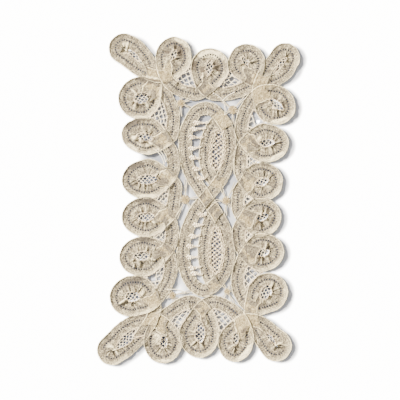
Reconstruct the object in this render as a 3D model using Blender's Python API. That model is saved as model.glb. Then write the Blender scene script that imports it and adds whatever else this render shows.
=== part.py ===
"""Tape lace mat: one woven tape laid in loops, with net and needle-made fillings.

A narrow woven tape runs once round the mat and throws twenty-two closed loops
outward.  A second tape makes the two leaves in the middle, and two short tapes
split those leaves.  Netted eyes, ladders, nets and small wheels fill the gaps.
The mat lies flat, in metres, +Z up, with its length along Y.
"""

import math
from collections import namedtuple

import bpy
import numpy as np

MM = 0.001

# Driving sizes, in millimetres.
TAPE_WIDTH = 12.0
TAPE_THICKNESS = 1.0
LAYER_RISE = 1.35          # one tape lying over another: its thickness and a small air gap
LIFT_SLOPE = 0.22          # how steeply a tape climbs on to another, rise over run
NET_THICKNESS = 1.0
THREAD_WIDTH = 1.3
WHEEL_THICKNESS = 1.2
RAIL_WIDTH = 0.9           # the thread run along a tape's edge, which carries a ladder's bars
BAR_WIDTH = 2.2
PIECE_GAP = 0.5            # clear space between a filling and the tapes round it
STRIP_GAP = 0.7            # the same for a long filling, whose edges run aslant
FINE_STEP = 2.0            # spacing of the points that the tapes are worked out on
LONGEST_STEP = 5.5         # longest straight facet of a tape
TURN_STEP = 18.0           # most that a tape turns from one facet to the next, in degrees
RISE_STEP = 0.6            # most that a tape rises from one facet to the next
SEARCH_STEP = 0.25         # how finely the edge of a gap is looked for

# The border's loops, clockwise round the mat, each with the run that leads to the next one.
# x, y: middle of the loop; reach, half: half its length and half its width, both to the
# middle of the tape; heading: where it points; enter, leave: degrees before and after its
# tip that follow the round shape; over: the returning limb lies on top of the entering one.
Loop = namedtuple("Loop", "name x y reach half heading enter leave over run")
LOOPS = [
    Loop("right_6", 63.5, -86.5, 13.25, 12, 50, 100, 100, True,
         [(51, -84.5), (49, -94), (48, -103), (50, -113), (54.5, -124), (60.5, -134.5)]),
    Loop("bottom_5", 71, -134.5, 9, 8.5, -46, 90, 90, True,
         [(70.5, -123.5), (59.5, -114.5), (48.5, -111), (40, -112.5)]),
    Loop("bottom_4", 34.5, -129, 14.75, 10.5, -98, 85, 95, True,
         [(44, -121.5), (40, -112), (33.5, -104), (25.5, -98.5), (17, -95), (10, -95.5), (3, -100.5)]),
    Loop("bottom_3", 1, -124, 16, 12.5, -92, 100, 100, True,
         [(9, -107.5), (1.5, -98), (-6, -94.5), (-13, -95.5), (-21.5, -100.5), (-31, -107.5), (-39, -115.5)]),
    Loop("bottom_2", -32.5, -131, 14.25, 11.75, -92, 100, 100, True,
         [(-29, -117.5), (-35.5, -112), (-43.5, -110), (-53, -111), (-63, -114.5), (-72, -120.5),
          (-79.5, -128)]),
    Loop("bottom_1", -79, -138.5, 8.5, 8, -141, 90, 90, True,
         [(-65.5, -139), (-55.5, -129.5), (-48, -119.5), (-42.5, -109.5), (-40, -100.5), (-41.5, -91),
          (-45.5, -83.5), (-52, -77.5)]),
    Loop("left_6", -60, -89, 15.75, 12.75, 195, 90, 100, True,
         [(-47, -98.5), (-39, -92.5), (-32.5, -83.5), (-28, -75.5), (-25.3, -66), (-25.5, -57), (-29.3, -48)]),
    Loop("left_5", -51, -52.5, 16, 12.25, 187, 100, 105, True,
         [(-38, -57), (-30, -48), (-25.3, -40.5), (-24.2, -33), (-24.5, -25), (-29, -14.5)]),
    Loop("left_4", -48, -16.5, 16.5, 12.25, 180, 100, 105, True,
         [(-30.5, -18.5), (-24, -10), (-22.5, -1.5), (-21.5, 5.5), (-21.5, 13)]),
    Loop("left_3", -47, 18.5, 17.5, 12.25, 186, 105, 105, True,
         [(-27, 20), (-22.8, 29), (-23, 36), (-24.7, 43)]),
    Loop("left_2", -48, 58, 17, 10.75, 172, 105, 105, True,
         [(-25, 58), (-23.5, 67), (-23, 75.5), (-24.5, 83), (-27.5, 91), (-33, 99)]),
    Loop("left_1", -53, 93, 14.75, 13.25, 195, 105, 100, True,
         [(-41.5, 88.5), (-40, 95.5), (-39.5, 102), (-40.5, 113), (-44.5, 125), (-51.5, 135), (-59, 143)]),
    Loop("top_1", -68.5, 138.5, 7.75, 8, 143, 80, 80, True,
         [(-67.5, 128.5), (-61, 123.5), (-53, 118), (-42.5, 114), (-33.5, 112.5), (-24, 115.5),
          (-17, 120.5)]),
    Loop("top_2", -23, 130, 13.25, 10.75, 83, 100, 110, True,
         [(-31, 115), (-26, 106.5), (-19.5, 101.5), (-9.5, 98), (0.5, 97)]),
    Loop("top_3", 10.5, 120.5, 12.5, 11.5, 85, 105, 110, True,
         [(4.5, 104), (11.5, 97.5), (20, 96), (30, 97.5), (40, 100.5), (48.5, 106)]),
    Loop("top_4", 44.5, 125, 11.75, 11, 105, 105, 105, True,
         [(38, 116.5), (45, 112), (53, 108.5), (61.5, 107), (68.5, 108.5), (76, 112.5), (82.5, 118)]),
    Loop("top_5", 79.5, 129.5, 8, 7.75, 48, 90, 90, True,
         [(69, 128), (64, 121.5), (59.5, 113), (56, 104), (55.5, 95.5)]),
    Loop("right_1", 69.5, 87, 14.25, 12, -30, 105, 100, True,
         [(59.5, 99), (51, 93), (45, 84.5), (41.5, 76.5), (39.5, 66), (40, 58)]),
    Loop("right_2", 61.5, 51.5, 15.75, 11.75, -3, 105, 105, False,
         [(44, 51.5), (39.7, 43.5), (38.8, 33), (39.3, 23)]),
    Loop("right_3", 57.5, 15.5, 14.25, 12, 10, 105, 105, True,
         [(43, 15.5), (37.5, 6.5), (36, -3.5), (37.5, -12)]),
    Loop("right_4", 56.5, -17, 13.75, 11.75, 10, 105, 105, True,
         [(42, -18.5), (37.5, -27.5), (37.3, -36), (39.5, -45)]),
    Loop("right_5", 58.5, -49, 14.25, 11.5, 5, 105, 105, True,
         [(43.8, -50.5), (39, -60.5), (36.3, -70), (36, -78), (39, -88.5), (44, -95.5), (52, -100.5)]),
]
LOOP_POINTS = 9            # points that carry the round part of a loop
BORDER_START = (36, -76)   # the border's tape begins and ends on the plain run by this point

# The middle tape: down the right of the upper leaf, round the lower leaf and up again,
# its start lapped over its end.
START_LAP = 34             # how much of the start lies over the rest
MIDDLE_TAPE = [
    (17, 79), (21, 74), (24.3, 69.5), (25.9, 66),
    (28, 59), (28.8, 49.5), (28, 40.5), (26, 31.5), (21.8, 20), (15.5, 11), (9, 3),
    (1.5, -5.5), (-4.5, -14.5), (-9, -25.5), (-12.5, -37.5), (-14, -49.5), (-12.5, -61.5),
    (-9, -72.5), (-3, -80.5), (4.5, -84), (11.5, -81.5), (19, -74.5), (24.5, -65.5), (27.5, -54.5),
    (27.3, -43.5), (25.2, -31.5), (20.5, -20), (13.5, -8.5), (7, 1), (0, 11.5), (-7, 23), (-10.5, 34),
    (-12, 47), (-11.5, 60.5), (-7, 72.5), (-1, 81), (6.5, 83.5), (14, 81.5), (20, 75), (25.4, 67.5),
]
# The short tape that splits each leaf, its ends tucked under the middle tape.
UPPER_SPLIT = [(22, 72), (16, 70), (11.8, 64), (8.5, 55), (6.6, 45), (6.6, 34), (9.4, 24), (14.5, 17), (21, 14.5)]
LOWER_SPLIT = [(19, -8), (14, -13), (10.5, -20), (7.5, -31.5), (5.5, -43), (5.5, -53.5), (7.5, -64.5),
               (10.5, -73.5), (14.5, -80.5)]

# The netted eye of each loop: its middle, and how far it may reach from there.
Eye = namedtuple("Eye", "loop x y limit")
EYES = [
    Eye("right_6", 62.5, -86, 12), Eye("bottom_5", 68.5, -131, 14), Eye("bottom_4", 34.5, -128, 12),
    Eye("bottom_3", 1.5, -122, 14), Eye("bottom_2", -32.5, -130, 12), Eye("bottom_1", -68.5, -129, 18),
    Eye("left_6", -60, -89, 12), Eye("left_5", -52, -52, 14), Eye("left_4", -49, -16.5, 14),
    Eye("left_3", -47, 18.5, 14), Eye("left_2", -50, 57.5, 14), Eye("left_1", -52.5, 93, 12),
    Eye("top_1", -59.5, 132, 16), Eye("top_2", -23, 130, 12), Eye("top_3", 10.5, 120, 12),
    Eye("top_4", 44.5, 124.5, 12), Eye("top_5", 75, 124, 14), Eye("right_1", 71, 87, 12),
    Eye("right_2", 62, 51.5, 14), Eye("right_3", 58, 15.5, 12), Eye("right_4", 57, -17, 12),
    Eye("right_5", 58.5, -49, 12),
]
EYE_RAYS = 20

# Nets between the loops and the runs: middle, farthest reach, and the open places that are
# cut through, each as its middle and its half sizes.
Net = namedtuple("Net", "name x y limit holes")
NETS = [
    Net("net_top_left", -10.5, 111.5, 13, []),
    Net("net_top_right", 28, 107.5, 14, []),
    Net("net_left_1", -35.5, 76.5, 16, []),
    Net("net_left_3", -32, 0, 8, []),
    Net("net_left_4", -34, -33, 7, []),
    Net("net_left_5", -38, -72.5, 13, [(-41.8, -73, 2.4, 2.1), (-36.8, -71.8, 1.9, 2.1)]),
    Net("net_right_1", 52, 72.5, 12, [(50.9, 75.2, 1.5, 2.1), (54.9, 71.3, 2.1, 1.5), (49.9, 69.3, 2.1, 1.8)]),
    Net("net_right_2", 46.5, 34.5, 8, []),
    Net("net_right_3", 45, 0, 8, []),
    Net("net_right_4", 45.5, -32.5, 7, []),
    Net("net_right_5", 46.5, -72, 14, []),
    Net("net_bottom_left", -17, -109.5, 12, [(-18.2, -112.5, 1.6, 2.2)]),
    Net("net_bottom_right", 22, -110, 13, [(21.5, -112.5, 2.1, 2.4)]),
]
NET_RAYS = 30
HOLE_SIDES = 8

# The wheels worked in the open corners: middle, radius, and where each leg points, in degrees.
Wheel = namedtuple("Wheel", "name x y radius legs")
WHEELS = [
    Wheel("wheel_top_left", -16, 88, 3.2, [25, 88, 160, 222, 268, 335]),
    Wheel("wheel_top_right", 31.5, 82, 3.7, [45, 140, 205, 272, 340]),
    Wheel("wheel_middle_left", -12, -0.5, 3.8, [10, 88, 178, 245, 300]),
    Wheel("wheel_middle_right", 25.5, -1.5, 3.5, [5, 62, 110, 180, 268, 305]),
    Wheel("wheel_bottom_left", -24, -88.5, 3, [13, 115, 200, 285, 320]),
    Wheel("wheel_bottom_right", 26.5, -85, 2.7, [15, 68, 120, 240, 300]),
]
WHEEL_LEG_LIMIT = 19
WHEEL_SIDES = 16

# The long fillings of the two leaves: the line down their middle, and for a ladder the
# places of its bars along Y.
Strip = namedtuple("Strip", "name spine rows bars")
STRIPS = [
    Strip("ladder_upper", [(6.5, 74.5), (1.5, 67), (-1.5, 59.5), (-2.5, 52), (-2.5, 42), (-1.5, 33),
                           (2, 23), (6.5, 15)], 17, [70, 64.5, 56.5, 47, 37.5, 27.5, 19]),
    Strip("ladder_lower", [(7, -8.5), (3.5, -19), (-1.5, -29.5), (-3.5, -38.5), (-4, -48.5), (-3.5, -58),
                           (-1, -67), (3, -75)], 17, [-14, -24, -34, -43.5, -53.5, -63, -69]),
    Strip("net_upper", [(18.5, 63), (17.8, 56), (17.2, 47), (16.8, 38), (16.2, 27.5)], 9, []),
    Strip("net_lower", [(16.2, -26.5), (16.8, -34), (17, -43), (17, -53), (16.4, -62), (15.7, -68)], 9, []),
]

Paint = namedtuple("Paint", "name colour roughness")
LINEN = Paint("ecru_tape", (0.62, 0.53, 0.40), 0.9)
THREAD = Paint("cream_thread", (0.72, 0.64, 0.50), 0.85)
WHEEL_THREAD = Paint("straw_thread", (0.74, 0.62, 0.38), 0.8)


def clear_scene():
    for item in list(bpy.data.objects):
        bpy.data.objects.remove(item, do_unlink=True)


def make_collection(name):
    group = bpy.data.collections.new(name)
    bpy.context.scene.collection.children.link(group)
    return group


def make_material(name, paint):
    material = bpy.data.materials.new(name)
    material.use_nodes = True
    shader = material.node_tree.nodes["Principled BSDF"]
    shader.inputs["Base Color"].default_value = (*paint.colour, 1.0)
    shader.inputs["Roughness"].default_value = paint.roughness
    shader.inputs["Metallic"].default_value = 0.0
    return material


# Paths -----------------------------------------------------------------------------------

def loop_points(loop):
    """Points round one loop, counter-clockwise, from its entering to its returning limb."""
    heading = math.radians(loop.heading)
    sweep = np.radians(np.linspace(-loop.enter, loop.leave, LOOP_POINTS))
    along = loop.reach * np.cos(sweep)
    across = loop.half * np.sin(sweep)
    return list(zip(loop.x + along * math.cos(heading) - across * math.sin(heading),
                    loop.y + along * math.sin(heading) + across * math.cos(heading)))


def smooth_path(points, closed):
    """A centripetal Catmull-Rom curve through the points, in even steps of FINE_STEP."""
    points = np.array(points, dtype=float)
    count = len(points)
    if closed:
        before, after, later = (np.roll(points, shift, 0) for shift in (1, -1, -2))
        start = points
    else:
        start, after = points[:-1], points[1:]
        before = np.vstack([2 * start[:1] - after[:1], start[:-1]])
        later = np.vstack([after[1:], 2 * after[-1:] - start[-1:]])
    knot_1, knot_2, knot_3 = (np.sqrt(np.linalg.norm(step, axis=1))[:, None]
                              for step in (start - before, after - start, later - after))
    leaving = ((start - before) / knot_1 - (after - before) / (knot_1 + knot_2)) * knot_2 + after - start
    arriving = ((later - after) / knot_3 - (later - start) / (knot_2 + knot_3)) * knot_2 + after - start
    pieces = []
    for t in np.linspace(0, 1, 12, endpoint=False):
        pieces.append((2 * t**3 - 3 * t**2 + 1) * start + (t**3 - 2 * t**2 + t) * leaving
                      + (3 * t**2 - 2 * t**3) * after + (t**3 - t**2) * arriving)
    curve = np.stack(pieces, axis=1).reshape(-1, 2)
    curve = np.vstack([curve, points[:1] if closed else points[-1:]])
    travelled = np.concatenate([[0], np.cumsum(np.linalg.norm(np.diff(curve, axis=0), axis=1))])
    places = np.linspace(0, travelled[-1], int(round(travelled[-1] / FINE_STEP)) + 1)
    even = np.stack([np.interp(places, travelled, curve[:, axis]) for axis in (0, 1)], axis=1)
    return even[:-1] if closed else even


def border_path():
    """The border's centre line, and for each of its points the loop it belongs to."""
    points = []
    for loop in LOOPS:
        points += loop_points(loop) + loop.run
    path = smooth_path(points, closed=True)
    first = int(np.argmin(np.linalg.norm(path - BORDER_START, axis=1)))
    path = np.roll(path, -first, axis=0)
    middles = np.array([(loop.x, loop.y) for loop in LOOPS])
    owner = np.argmin(np.linalg.norm(path[:, None] - middles[None], axis=2), axis=1)
    return path, owner


def side_vectors(path, closed):
    """Unit vectors across a path, to its left."""
    if closed:
        along = np.roll(path, -1, axis=0) - np.roll(path, 1, axis=0)
    else:
        along = np.gradient(path, axis=0)
    along /= np.linalg.norm(along, axis=1)[:, None]
    return np.stack([-along[:, 1], along[:, 0]], axis=1)


def resting_heights(paths, closed, owners, laps):
    """How high each tape's underside lies where it passes over other tapes, or over itself.

    A later tape, or a later part of one tape, lies on top, except in a loop whose row
    says that its entering limb does, and within a tape's lap at its start.
    """
    lengths = [len(path) for path in paths]
    starts = np.concatenate([[0], np.cumsum(lengths)])
    points = np.vstack(paths)
    sides = np.vstack([side_vectors(path, ring) for path, ring in zip(paths, closed)])
    total = len(points)
    tape = np.repeat(np.arange(len(paths)), lengths)
    loop = np.concatenate(owners)
    place = np.arange(total)
    order = place.copy()
    for start, lap in zip(starts, laps):
        order[start:start + int(lap / FINE_STEP)] += total
    near = np.zeros((total, total), dtype=bool)
    for share in np.linspace(-1, 1, 7):
        edge = points + sides * share * TAPE_WIDTH / 2
        distance = np.linalg.norm(edge[:, None] - points[None], axis=2)
        near |= distance < TAPE_WIDTH / 2 + PIECE_GAP
    near |= near.T
    apart = np.abs(place[:, None] - place[None])
    for index, (length, ring) in enumerate(zip(lengths, closed)):
        if ring:
            own = slice(starts[index], starts[index + 1])
            apart[own, own] = np.minimum(apart[own, own], length - apart[own, own])
    bend = int(2.2 * TAPE_WIDTH / FINE_STEP)
    near &= (apart > bend) | (tape[:, None] != tape[None])
    entering_over = np.array([not row.over for row in LOOPS] + [False])
    flipped = (loop[:, None] == loop[None]) & entering_over[loop][:, None]
    above = (order[:, None] > order[None]) ^ flipped
    upper, lower = np.nonzero(near & above)
    heights = np.zeros(total)
    for _ in range(60):
        before = heights.copy()
        np.maximum.at(heights, upper, before[lower] + LAYER_RISE)
        for index, ring in enumerate(closed):
            own = heights[starts[index]:starts[index + 1]]
            for shift in (1, -1):
                beside = np.roll(own, shift) - LIFT_SLOPE * FINE_STEP
                if not ring:
                    beside[0 if shift == 1 else -1] = 0
                np.maximum(own, beside, out=own)
        if np.array_equal(before, heights):
            break
    return [heights[starts[index]:starts[index + 1]] for index in range(len(paths))]


def facet_stations(path, heights, closed):
    """The points of a path that its solid needs, fewer where it is straight and level."""
    sides = side_vectors(path, closed)
    kept = [0]
    for index in range(1, len(path)):
        last = kept[-1]
        turn = math.degrees(math.acos(max(-1.0, min(1.0, float(sides[index] @ sides[last])))))
        length = (index - last) * FINE_STEP
        rise = abs(heights[index] - heights[last])
        if turn > TURN_STEP or length > LONGEST_STEP or rise > RISE_STEP:
            step_back = index - 1 if index - 1 > last else index
            kept.append(step_back)
    if closed and kept[-1] >= len(path) - 1:
        kept.pop()
    if not closed and kept[-1] != len(path) - 1:
        kept.append(len(path) - 1)
    return kept


# Solids ----------------------------------------------------------------------------------

def tape_profile(guides):
    """The cross section that every tape is drawn along, its underside at the path."""
    shape = bpy.data.curves.new("tape_section", "CURVE")
    shape.dimensions = "2D"
    corners = [(-TAPE_WIDTH / 2, TAPE_THICKNESS), (TAPE_WIDTH / 2, TAPE_THICKNESS), (TAPE_WIDTH / 2, 0),
               (-TAPE_WIDTH / 2, 0)]
    spline = shape.splines.new("POLY")
    spline.points.add(len(corners) - 1)
    for point, (across, up) in zip(spline.points, corners):
        point.co = (across * MM, up * MM, 0, 1)
    spline.use_cyclic_u = True
    guide = bpy.data.objects.new("tape_section", shape)
    guide.hide_render = True
    guide.display_type = "WIRE"
    guides.objects.link(guide)
    return guide


def add_tape(name, path, heights, closed, section, group):
    shape = bpy.data.curves.new(name, "CURVE")
    shape.dimensions = "3D"
    shape.twist_mode = "Z_UP"
    shape.bevel_mode = "OBJECT"
    shape.bevel_object = section
    shape.use_fill_caps = not closed
    kept = facet_stations(path, heights, closed)
    spline = shape.splines.new("POLY")
    spline.points.add(len(kept) - 1)
    for point, index in zip(spline.points, kept):
        point.co = (path[index, 0] * MM, path[index, 1] * MM, heights[index] * MM, 1)
    spline.use_cyclic_u = closed
    tape = bpy.data.objects.new(name, shape)
    shape.materials.append(make_material(name, LINEN))
    group.objects.link(tape)
    return tape


def add_flat_piece(name, outline, holes, thickness, paint, group):
    """A flat piece lying on the surface, cut through at its holes."""
    shape = bpy.data.curves.new(name, "CURVE")
    shape.dimensions = "2D"
    shape.fill_mode = "BOTH"
    shape.extrude = thickness * MM / 2
    for ring in [outline] + holes:
        spline = shape.splines.new("POLY")
        spline.points.add(len(ring) - 1)
        for point, (x, y) in zip(spline.points, ring):
            point.co = (x * MM, y * MM, 0, 1)
        spline.use_cyclic_u = True
    piece = bpy.data.objects.new(name, shape)
    piece.location.z = thickness * MM / 2
    shape.materials.append(make_material(name, paint))
    group.objects.link(piece)
    return piece


# Fillings --------------------------------------------------------------------------------

def free_reach(tape_points, middle, angle, limit, clearance=PIECE_GAP):
    """How far a straight line runs from the middle of a gap before it comes near a tape."""
    lengths = np.arange(SEARCH_STEP, limit + SEARCH_STEP / 2, SEARCH_STEP)
    way = np.array([math.cos(angle), math.sin(angle)])
    line = np.array(middle) + lengths[:, None] * way
    distance = np.linalg.norm(line[:, None] - tape_points[None], axis=2).min(axis=1)
    met = np.nonzero(distance < TAPE_WIDTH / 2 + clearance)[0]
    return lengths[met[0]] - SEARCH_STEP if len(met) else limit


def gap_outline(tape_points, middle, limit, rays):
    outline = []
    for angle in np.linspace(0, 2 * math.pi, rays, endpoint=False):
        length = free_reach(tape_points, middle, angle, limit)
        outline.append((middle[0] + length * math.cos(angle), middle[1] + length * math.sin(angle)))
    return outline


def oval(x, y, half_x, half_y):
    """A hole's outline, its corners outside the named half sizes."""
    stretch = 1 / math.cos(math.pi / HOLE_SIDES)
    turns = [2 * math.pi * (side + 0.5) / HOLE_SIDES for side in range(HOLE_SIDES)]
    return [(x + half_x * stretch * math.cos(turn), y + half_y * stretch * math.sin(turn)) for turn in turns]


def wheel_outline(tape_points, wheel):
    """A disc whose legs run out to the tapes round it."""
    outline = []
    legs = sorted(math.radians(leg) % (2 * math.pi) for leg in wheel.legs)
    root = math.asin(THREAD_WIDTH / 2 / wheel.radius)
    for order, leg in enumerate(legs):
        length = free_reach(tape_points, (wheel.x, wheel.y), leg, WHEEL_LEG_LIMIT,
                            PIECE_GAP + THREAD_WIDTH / 2)
        tip = math.asin(THREAD_WIDTH / 2 / length)
        outline += [(wheel.radius, leg - root), (length, leg - tip), (length, leg + tip),
                    (wheel.radius, leg + root)]
        following = legs[(order + 1) % len(legs)] + (2 * math.pi if order + 1 == len(legs) else 0)
        room = following - leg - 2 * root
        steps = int(room / (2 * math.pi / WHEEL_SIDES))
        outline += [(wheel.radius, leg + root + room * step / (steps + 1)) for step in range(1, steps + 1)]
    return [(wheel.x + far * math.cos(turn), wheel.y + far * math.sin(turn)) for far, turn in outline]


def strip_rows(tape_points, strip):
    """Rows across a long filling: y, and the x of its left and right edge."""
    spine = np.array(strip.spine)
    order = np.argsort(spine[:, 1])
    levels = np.linspace(spine[:, 1].min(), spine[:, 1].max(), strip.rows)
    rows = []
    for y in sorted(set(levels) | {bar + side * BAR_WIDTH / 2 for bar in strip.bars for side in (-1, 1)}):
        x = float(np.interp(y, spine[order, 1], spine[order, 0]))
        left = x - free_reach(tape_points, (x, y), math.pi, TAPE_WIDTH * 2, STRIP_GAP)
        right = x + free_reach(tape_points, (x, y), 0, TAPE_WIDTH * 2, STRIP_GAP)
        rows.append((y, left, right))
    return rows


def strip_outline(rows):
    return [(left, y) for y, left, right in rows] + [(right, y) for y, left, right in reversed(rows)]


def ladder_holes(rows, strip):
    """The open places between a ladder's bars, inside the thread along each edge."""
    level = np.array([row[0] for row in rows])
    left = np.array([row[1] for row in rows])
    right = np.array([row[2] for row in rows])
    ends = [rows[0][0] + RAIL_WIDTH - BAR_WIDTH / 2] + sorted(strip.bars)
    ends += [rows[-1][0] - RAIL_WIDTH + BAR_WIDTH / 2]
    holes = []
    for low, high in zip(ends[:-1], ends[1:]):
        levels = np.linspace(low + BAR_WIDTH / 2, high - BAR_WIDTH / 2, 3)
        sides = [(float(np.interp(y, level, left)) + RAIL_WIDTH,
                  float(np.interp(y, level, right)) - RAIL_WIDTH) for y in levels]
        if levels[-1] - levels[0] < 2 or min(far - near for near, far in sides) < 1:
            continue
        holes.append([(near, y) for (near, far), y in zip(sides, levels)]
                     + [(far, y) for (near, far), y in reversed(list(zip(sides, levels)))])
    return holes


# Assembly --------------------------------------------------------------------------------

def add_tapes(group, guides):
    border, owner = border_path()
    names = ["split_tape_upper", "split_tape_lower", "border_tape", "middle_tape"]
    paths = [smooth_path(UPPER_SPLIT, False), smooth_path(LOWER_SPLIT, False), border,
             smooth_path(MIDDLE_TAPE, False)]
    closed = [False, False, True, False]
    no_loop = len(LOOPS)
    owners = [owner if ring else np.full(len(path), no_loop) for path, ring in zip(paths, closed)]
    heights = resting_heights(paths, closed, owners, laps=[0, 0, 0, START_LAP])
    section = tape_profile(guides)
    for name, path, height, ring in zip(names, paths, heights, closed):
        add_tape(name, path, height, ring, section, group)
    return np.vstack(paths)


def add_eyes(tape_points, group):
    for eye in EYES:
        outline = gap_outline(tape_points, (eye.x, eye.y), eye.limit, EYE_RAYS)
        add_flat_piece("eye_" + eye.loop, outline, [], NET_THICKNESS, THREAD, group)


def add_nets(tape_points, group):
    for net in NETS:
        outline = gap_outline(tape_points, (net.x, net.y), net.limit, NET_RAYS)
        holes = [oval(*hole) for hole in net.holes]
        add_flat_piece(net.name, outline, holes, NET_THICKNESS, THREAD, group)


def add_strips(tape_points, group):
    for strip in STRIPS:
        rows = strip_rows(tape_points, strip)
        holes = ladder_holes(rows, strip) if strip.bars else []
        add_flat_piece(strip.name, strip_outline(rows), holes, NET_THICKNESS, THREAD, group)


def add_wheels(tape_points, group):
    for wheel in WHEELS:
        outline = wheel_outline(tape_points, wheel)
        add_flat_piece(wheel.name, outline, [], WHEEL_THICKNESS, WHEEL_THREAD, group)


def main():
    clear_scene()
    mat = make_collection("tape_lace_mat")
    guides = make_collection("guides")
    tape_points = add_tapes(mat, guides)
    add_eyes(tape_points, mat)
    add_nets(tape_points, mat)
    add_strips(tape_points, mat)
    add_wheels(tape_points, mat)


main()
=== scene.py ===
"""Tape lace mat laid on a pale table: fine woven tape, needle-made nets, ladders and wheels.

Each piece is made in the place and at the size of the plain solid that it stands for.
"""

import math
from collections import namedtuple
from functools import lru_cache

import bpy
import numpy as np
from bpy.props import FloatProperty, FloatVectorProperty, PointerProperty
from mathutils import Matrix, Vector
from mathutils.kdtree import KDTree


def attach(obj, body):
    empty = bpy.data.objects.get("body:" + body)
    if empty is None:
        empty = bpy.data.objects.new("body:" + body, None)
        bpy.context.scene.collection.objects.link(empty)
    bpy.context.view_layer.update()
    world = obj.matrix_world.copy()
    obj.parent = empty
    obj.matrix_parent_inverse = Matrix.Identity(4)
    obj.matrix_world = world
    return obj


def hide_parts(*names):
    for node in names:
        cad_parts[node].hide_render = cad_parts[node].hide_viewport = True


bl_info = {
    "name": "Tape Lace Mat",
    "version": (1, 0, 0),
    "blender": (4, 5, 0),
    "location": "View3D > Sidebar > Lace",
    "description": "Lays a woven tape in loops and works its nets, ladders and wheels",
    "category": "Add Mesh",
}

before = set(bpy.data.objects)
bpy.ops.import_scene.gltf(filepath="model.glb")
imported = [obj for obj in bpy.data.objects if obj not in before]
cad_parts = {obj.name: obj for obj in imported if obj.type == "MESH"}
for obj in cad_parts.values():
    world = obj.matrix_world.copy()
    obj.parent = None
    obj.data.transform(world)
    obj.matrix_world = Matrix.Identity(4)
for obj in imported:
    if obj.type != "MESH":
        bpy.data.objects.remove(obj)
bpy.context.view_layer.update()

MM = 0.001

# How the tape is laid. All lengths from here to the settings are in millimetres. -----------------

COURSE_STEP = 2.0          # spacing of the points that the layers are worked out on
LAYER_RISE = 0.75          # one tape lying over another
LIFT_SLOPE = 0.36          # how steeply a tape climbs on to another, rise over run
TOUCH_GAP = 0.5            # tapes nearer than this rest on each other
BEND_WIDTHS = 2.2          # places of one tape nearer than this many widths are in one bend
LAYER_PART = 300           # stations gone through at a time
LAYER_EVERY = 3            # one in this many of them is compared
LOOP_RISE = 4              # length over which a run turns into a loop
SWAY = 6                   # steps over which the limbs of a loop settle on each other
GENTLEST_BEND = 0.01       # a bend gentler than this, per millimetre, counts as this
BEND_FILL = 0.82           # share of a bend's radius that its inner edge may reach
NO_EYE = 99                # room on the side of a tape where there is no eye
EYE_STEP = 0.25            # steps in which the way to an eye is measured
EYE_REACH = 15             # and how far it is looked for
PINHOLE_PARTS = 4          # even steps from one pinhole to the next
STATION_PARTS = (0, 2, 3)  # the steps that have a cross section; a pinhole fills the first gap
LOOP_POINTS = 9            # points that carry the round part of a loop
CURVE_PARTS = 12           # fine parts of a smooth curve between two of its points
BORDER_START = (36, -76)   # where the border's tape begins and ends
TABLE_GAP = 0.02           # least height of the cloth over the table
CLOSED_RIM = 0.35          # how dark the painted shade round a closed pinhole is, beside that round an open one
FOLD_SLANT = (0.6, -0.8)   # the side of a fold that has its hollow, away from the light
# Where the tape's cross section has points, from its middle line.
SECTION = (-6.0, -5.55, -4.75, -3.7, -2.6, -1.5, -0.56, 0.56, 1.5, 2.6, 3.7, 4.75, 5.55, 6.0)


def table(name, columns, *rows):
    """A short table whose rows have named columns."""
    row_type = namedtuple(name, columns)
    return [row_type(*row) for row in rows]


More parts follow.
